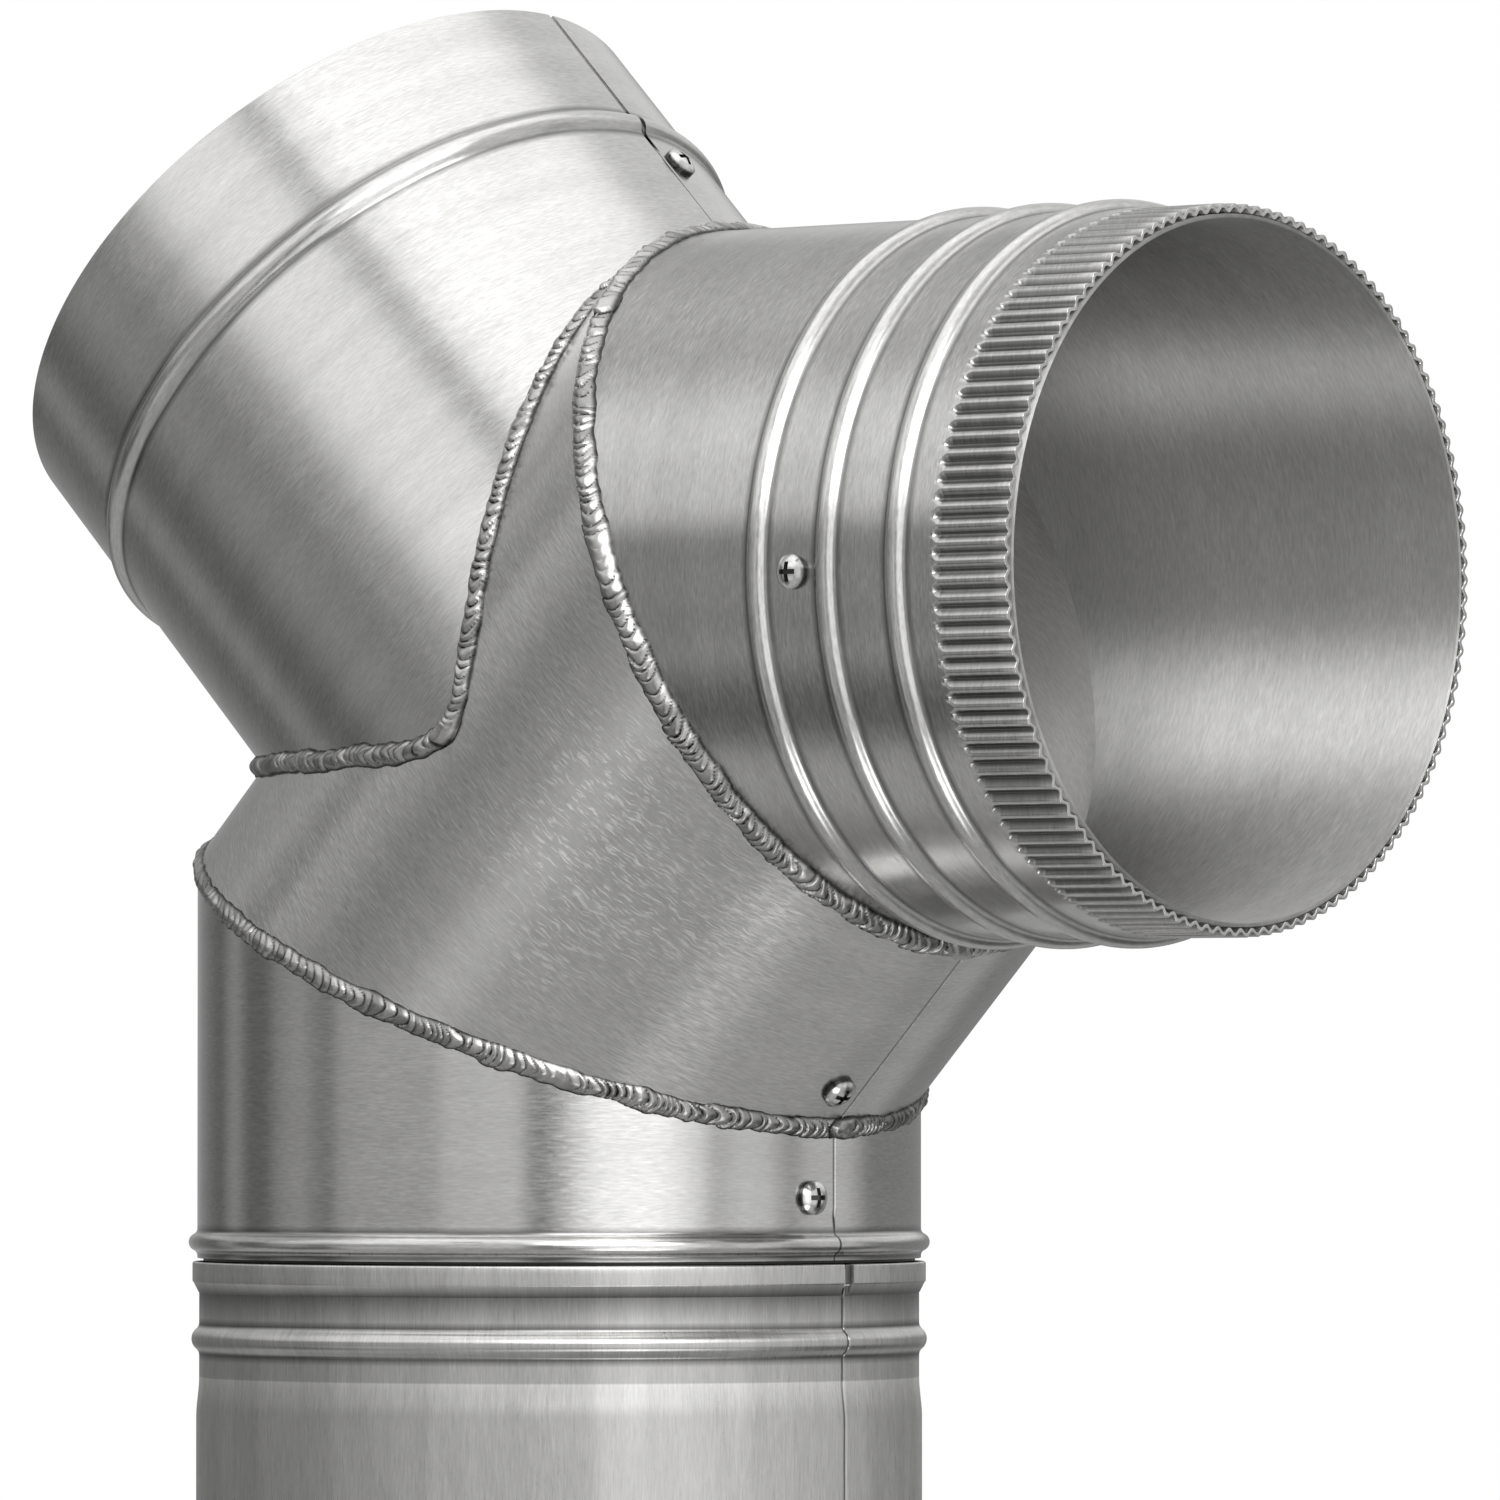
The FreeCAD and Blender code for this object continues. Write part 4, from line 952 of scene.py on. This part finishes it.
for screwName, (tube, wallRadius, along, turned) in screws["places"].items():
    turn = Matrix.Rotation(math.radians(turned), 4, "Z")
    head = frames[tube] @ (turn @ Vector((wallRadius, 0, along))) * mm
    outward = frames[tube].to_3x3() @ turn.to_3x3() @ Vector((1, 0, 0))
    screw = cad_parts[screwName]
    screw.data.materials.clear()
    screw.data.materials.append(screwMetal(screwName + "_metal", head, outward))
    softened = screw.modifiers.new("softEdges", "BEVEL")
    softened.width = screws["edgeWidth"] * mm
    softened.segments = 2
    softened.limit_method = "ANGLE"
print("screws finished")

# Studio: a pale floor, and soft panels round the elbow by direction from the camera's side
viewing = {
    "azimuth": 42.0, "elevation": -0.451, "distance": 2.7866, "aim": (0.0, 0.0, 0.1692),
    "acrossShift": 0.03954, "upShift": 0.0468, "lens": 322.3,
}
horizon = [
    # azimuth from the camera's side, light of the strip round the horizon
    (-180, 0.50), (-168, 0.34), (-150, 0.20), (-137, 0.13), (-126, 0.36), (-117, 0.14), (-107, 0.15),
    (-101, 0.30), (-90, 0.38), (-86, 0.28), (-78, 0.18), (-74, 0.42), (-66, 0.42), (-39.5, 0.46), (-37, 0.66),
    (-12.5, 0.76), (-9.5, 0.32), (-5, 0.15), (-1, 0.30), (5, 0.75), (10, 1.12), (15, 1.28), (32, 1.42),
    (41, 1.22), (46, 1.06), (50, 0.62), (60, 0.86), (70, 0.80), (79, 0.42), (86, 0.70), (103, 0.70), (117, 0.26),
]
backdrop = {
    # elevations in degrees between which the light goes from one level to another
    "overhead": (14, 68, 0.62, 1.6), "underfoot": (-32, -8, 0.46, 0.36), "change": (4, 18, 0.0, 1.0),
    # the strip lies this far under the horizon and fades between these distances from its middle
    "stripDrop": 4, "strip": (16, 27, 1.0, 0.0), "rampTop": 2.0,
}
panels = [
    # name, middle and half width in azimuth, middle and half height in elevation, edge, light
    ("backLeft", -148, 46, 39, 19, 7, 0.50),
    ("leftMiddle", -92, 12, 20, 8, 4, 0.80),
    ("leftHigh", -94, 12, 32.5, 3.5, 4, 1.0),
    ("leftLow", -94, 16, -30, 9, 5, 0.11),
    ("frontLeft", -56, 20, 31, 13, 8, 1.30),
    ("frontTop", 17, 22, 33, 15, 6, 5.6),
    ("topStrip", -37, 6, 47, 6, 2, 0.14),
    ("rightHigh", 75, 22, 40, 14, 8, 0.75),
    ("backRight", 150, 30, 33, 22, 8, 0.85),
    ("floorFront", 27, 15, -44, 9, 7, 4.0),
    ("leftFloor", -62, 14, -24, 7, 4, 0.70),
    ("floorRight", 102, 26, -32, 14, 8, 0.10),
    ("floorCamera", 0, 9, -32, 10, 5, 0.22),
]


def makePanelGroup():
    # one soft-edged panel, laid over what is behind it
    group, given, result = newGroup("studioPanel", {
        "Azimuth": 0.0, "Elevation": 0.0, "Azimuth Middle": 0.0, "Half Width": 0.3, "Elevation Middle": 0.0,
        "Half Height": 0.3, "Edge": 0.05, "Light": 1.0, "Behind": 0.0,
    }, ["Light"])
    aside = mathOf(group, "SUBTRACT", given["Azimuth"], given["Azimuth Middle"])
    aside = mathOf(group, "WRAP", aside, math.pi, -math.pi)
    above = mathOf(group, "SUBTRACT", given["Elevation"], given["Elevation Middle"])
    outside = product(group, given["Edge"], -1.0)
    masks = []
    for offset, half in ((aside, given["Half Width"]), (above, given["Half Height"])):
        inset = mathOf(group, "SUBTRACT", half, mathOf(group, "ABSOLUTE", offset))
        masks.append(mapped(group, inset, outside, given["Edge"], smooth=True))
    change = product(group, mathOf(group, "SUBTRACT", given["Light"], given["Behind"]), *masks)
    group.links.new(mathOf(group, "ADD", given["Behind"], change), result["Light"])
    return group


def makeStudio():
    b = backdrop
    azimuth = math.radians(viewing["azimuth"])
    towards = (math.sin(azimuth), -math.cos(azimuth), 0)
    right = (math.cos(azimuth), math.sin(azimuth), 0)
    world = bpy.data.worlds.new("studio")
    bpy.context.scene.world = world
    world.use_nodes = True
    tree = world.node_tree
    background = tree.nodes["Background"]
    direction = addNode(tree, "ShaderNodeTexCoord").outputs["Generated"]
    side, front, height = (vectorOf(tree, "DOT_PRODUCT", direction, way) for way in (right, towards, (0, 0, 1)))
    angle = mathOf(tree, "ARCTAN2", side, front)
    rise = mathOf(tree, "ARCSINE", height)

    def byElevation(source, start, end, low, high, smooth=False):
        return mapped(tree, source, math.radians(start), math.radians(end), low, high, smooth)

    aloft = byElevation(rise, *b["change"], smooth=True)
    light = mixOf(tree, aloft, byElevation(rise, *b["underfoot"]), byElevation(rise, *b["overhead"]))
    ramp = addNode(tree, "ShaderNodeValToRGB", {"Fac": mapped(tree, angle, -math.pi, math.pi)})
    stops = ramp.color_ramp.elements
    for count, (azimuthStop, strength) in enumerate(horizon):
        position = (azimuthStop + 180) / 360
        stop = stops[count] if count < 2 else stops.new(position)
        stop.position = position
        stop.color = (*[strength / b["rampTop"]] * 3, 1)
    strip = product(tree, ramp.outputs["Color"], b["rampTop"])
    offStrip = mathOf(tree, "ABSOLUTE", mathOf(tree, "ADD", rise, math.radians(b["stripDrop"])))
    light = mixOf(tree, byElevation(offStrip, *b["strip"], smooth=True), light, strip)
    panelGroup = makePanelGroup()
    sizeNames = ("Azimuth Middle", "Half Width", "Elevation Middle", "Half Height", "Edge")
    for label, *sizes, strength in panels:
        links = dict(zip(sizeNames, map(math.radians, sizes)))
        links.update({"Azimuth": angle, "Elevation": rise, "Light": strength, "Behind": light})
        light = addNode(tree, "ShaderNodeGroup", links, name=label, node_tree=panelGroup).outputs["Light"]
    # the background is white to the camera, and the studio to what the metal mirrors
    seen = addNode(tree, "ShaderNodeLightPath").outputs
    shown = mathOf(tree, "MAXIMUM", seen["Is Camera Ray"], seen["Is Transmission Ray"])
    setInputs(tree, background, {"Color": (1, 1, 1, 1), "Strength": mixOf(tree, shown, light, 1.0)})
    print("studio panels", len(panels))


# Metres, and the grey of the floor near the elbow; further out it is white
floorSize = {"radius": 9.0, "inner": 0.7, "outer": 2.1, "grey": 0.86, "segments": 96}


def makeFloor():
    p = floorSize
    mesh = bpy.data.meshes.new("floor")
    shaped = bmesh.new()
    bmesh.ops.create_circle(shaped, cap_ends=True, segments=p["segments"], radius=p["radius"])
    shaped.to_mesh(mesh)
    shaped.free()
    floor = bpy.data.objects.new("floor", mesh)
    bpy.context.scene.collection.objects.link(floor)
    material = bpy.data.materials.new("paleFloor")
    material.use_nodes = True
    tree = material.node_tree
    tree.nodes.clear()
    away = vectorOf(tree, "LENGTH", addNode(tree, "ShaderNodeTexCoord").outputs["Object"])
    far = mapped(tree, away, p["inner"], p["outer"], smooth=True)
    seen = addNode(tree, "ShaderNodeLightPath").outputs
    plain = addNode(tree, "ShaderNodeBsdfDiffuse", {"Color": (p["grey"],) * 3 + (1,)}).outputs[0]
    white = addNode(tree, "ShaderNodeEmission", {"Color": (1, 1, 1, 1), "Strength": 1.0}).outputs[0]
    # reflections pass through the floor, to the studio's own floor below it
    through = addNode(tree, "ShaderNodeBsdfTransparent").outputs[0]
    visible = addNode(tree, "ShaderNodeMixShader", {0: far, 1: plain, 2: white}).outputs[0]
    whole = addNode(tree, "ShaderNodeMixShader", {0: seen["Is Glossy Ray"], 1: visible, 2: through}).outputs[0]
    addNode(tree, "ShaderNodeOutputMaterial", {"Surface": whole})
    mesh.materials.append(material)
    print("floor laid")


def makeCamera():
    p = viewing
    azimuth, elevation = math.radians(p["azimuth"]), math.radians(p["elevation"])
    level = math.cos(elevation)
    back = Vector((math.sin(azimuth) * level, -math.cos(azimuth) * level, math.sin(elevation)))
    right = Vector((math.cos(azimuth), math.sin(azimuth), 0))
    aim = Vector(p["aim"]) + right * p["acrossShift"] + back.cross(right) * p["upShift"]
    camera = bpy.data.objects.new("camera", bpy.data.cameras.new("camera"))
    camera.data.lens = p["lens"]
    camera.data.sensor_width = 36
    camera.location = Vector(p["aim"]) + back * p["distance"]
    camera.rotation_mode = "QUATERNION"
    camera.rotation_quaternion = (camera.location - aim).to_track_quat("Z", "Y")
    camera.data.clip_end = 60
    bpy.context.scene.collection.objects.link(camera)
    bpy.context.scene.camera = camera
    print("camera placed")


makeStudio()
makeFloor()
makeCamera()
bpy.context.scene.view_settings.view_transform = "Standard"
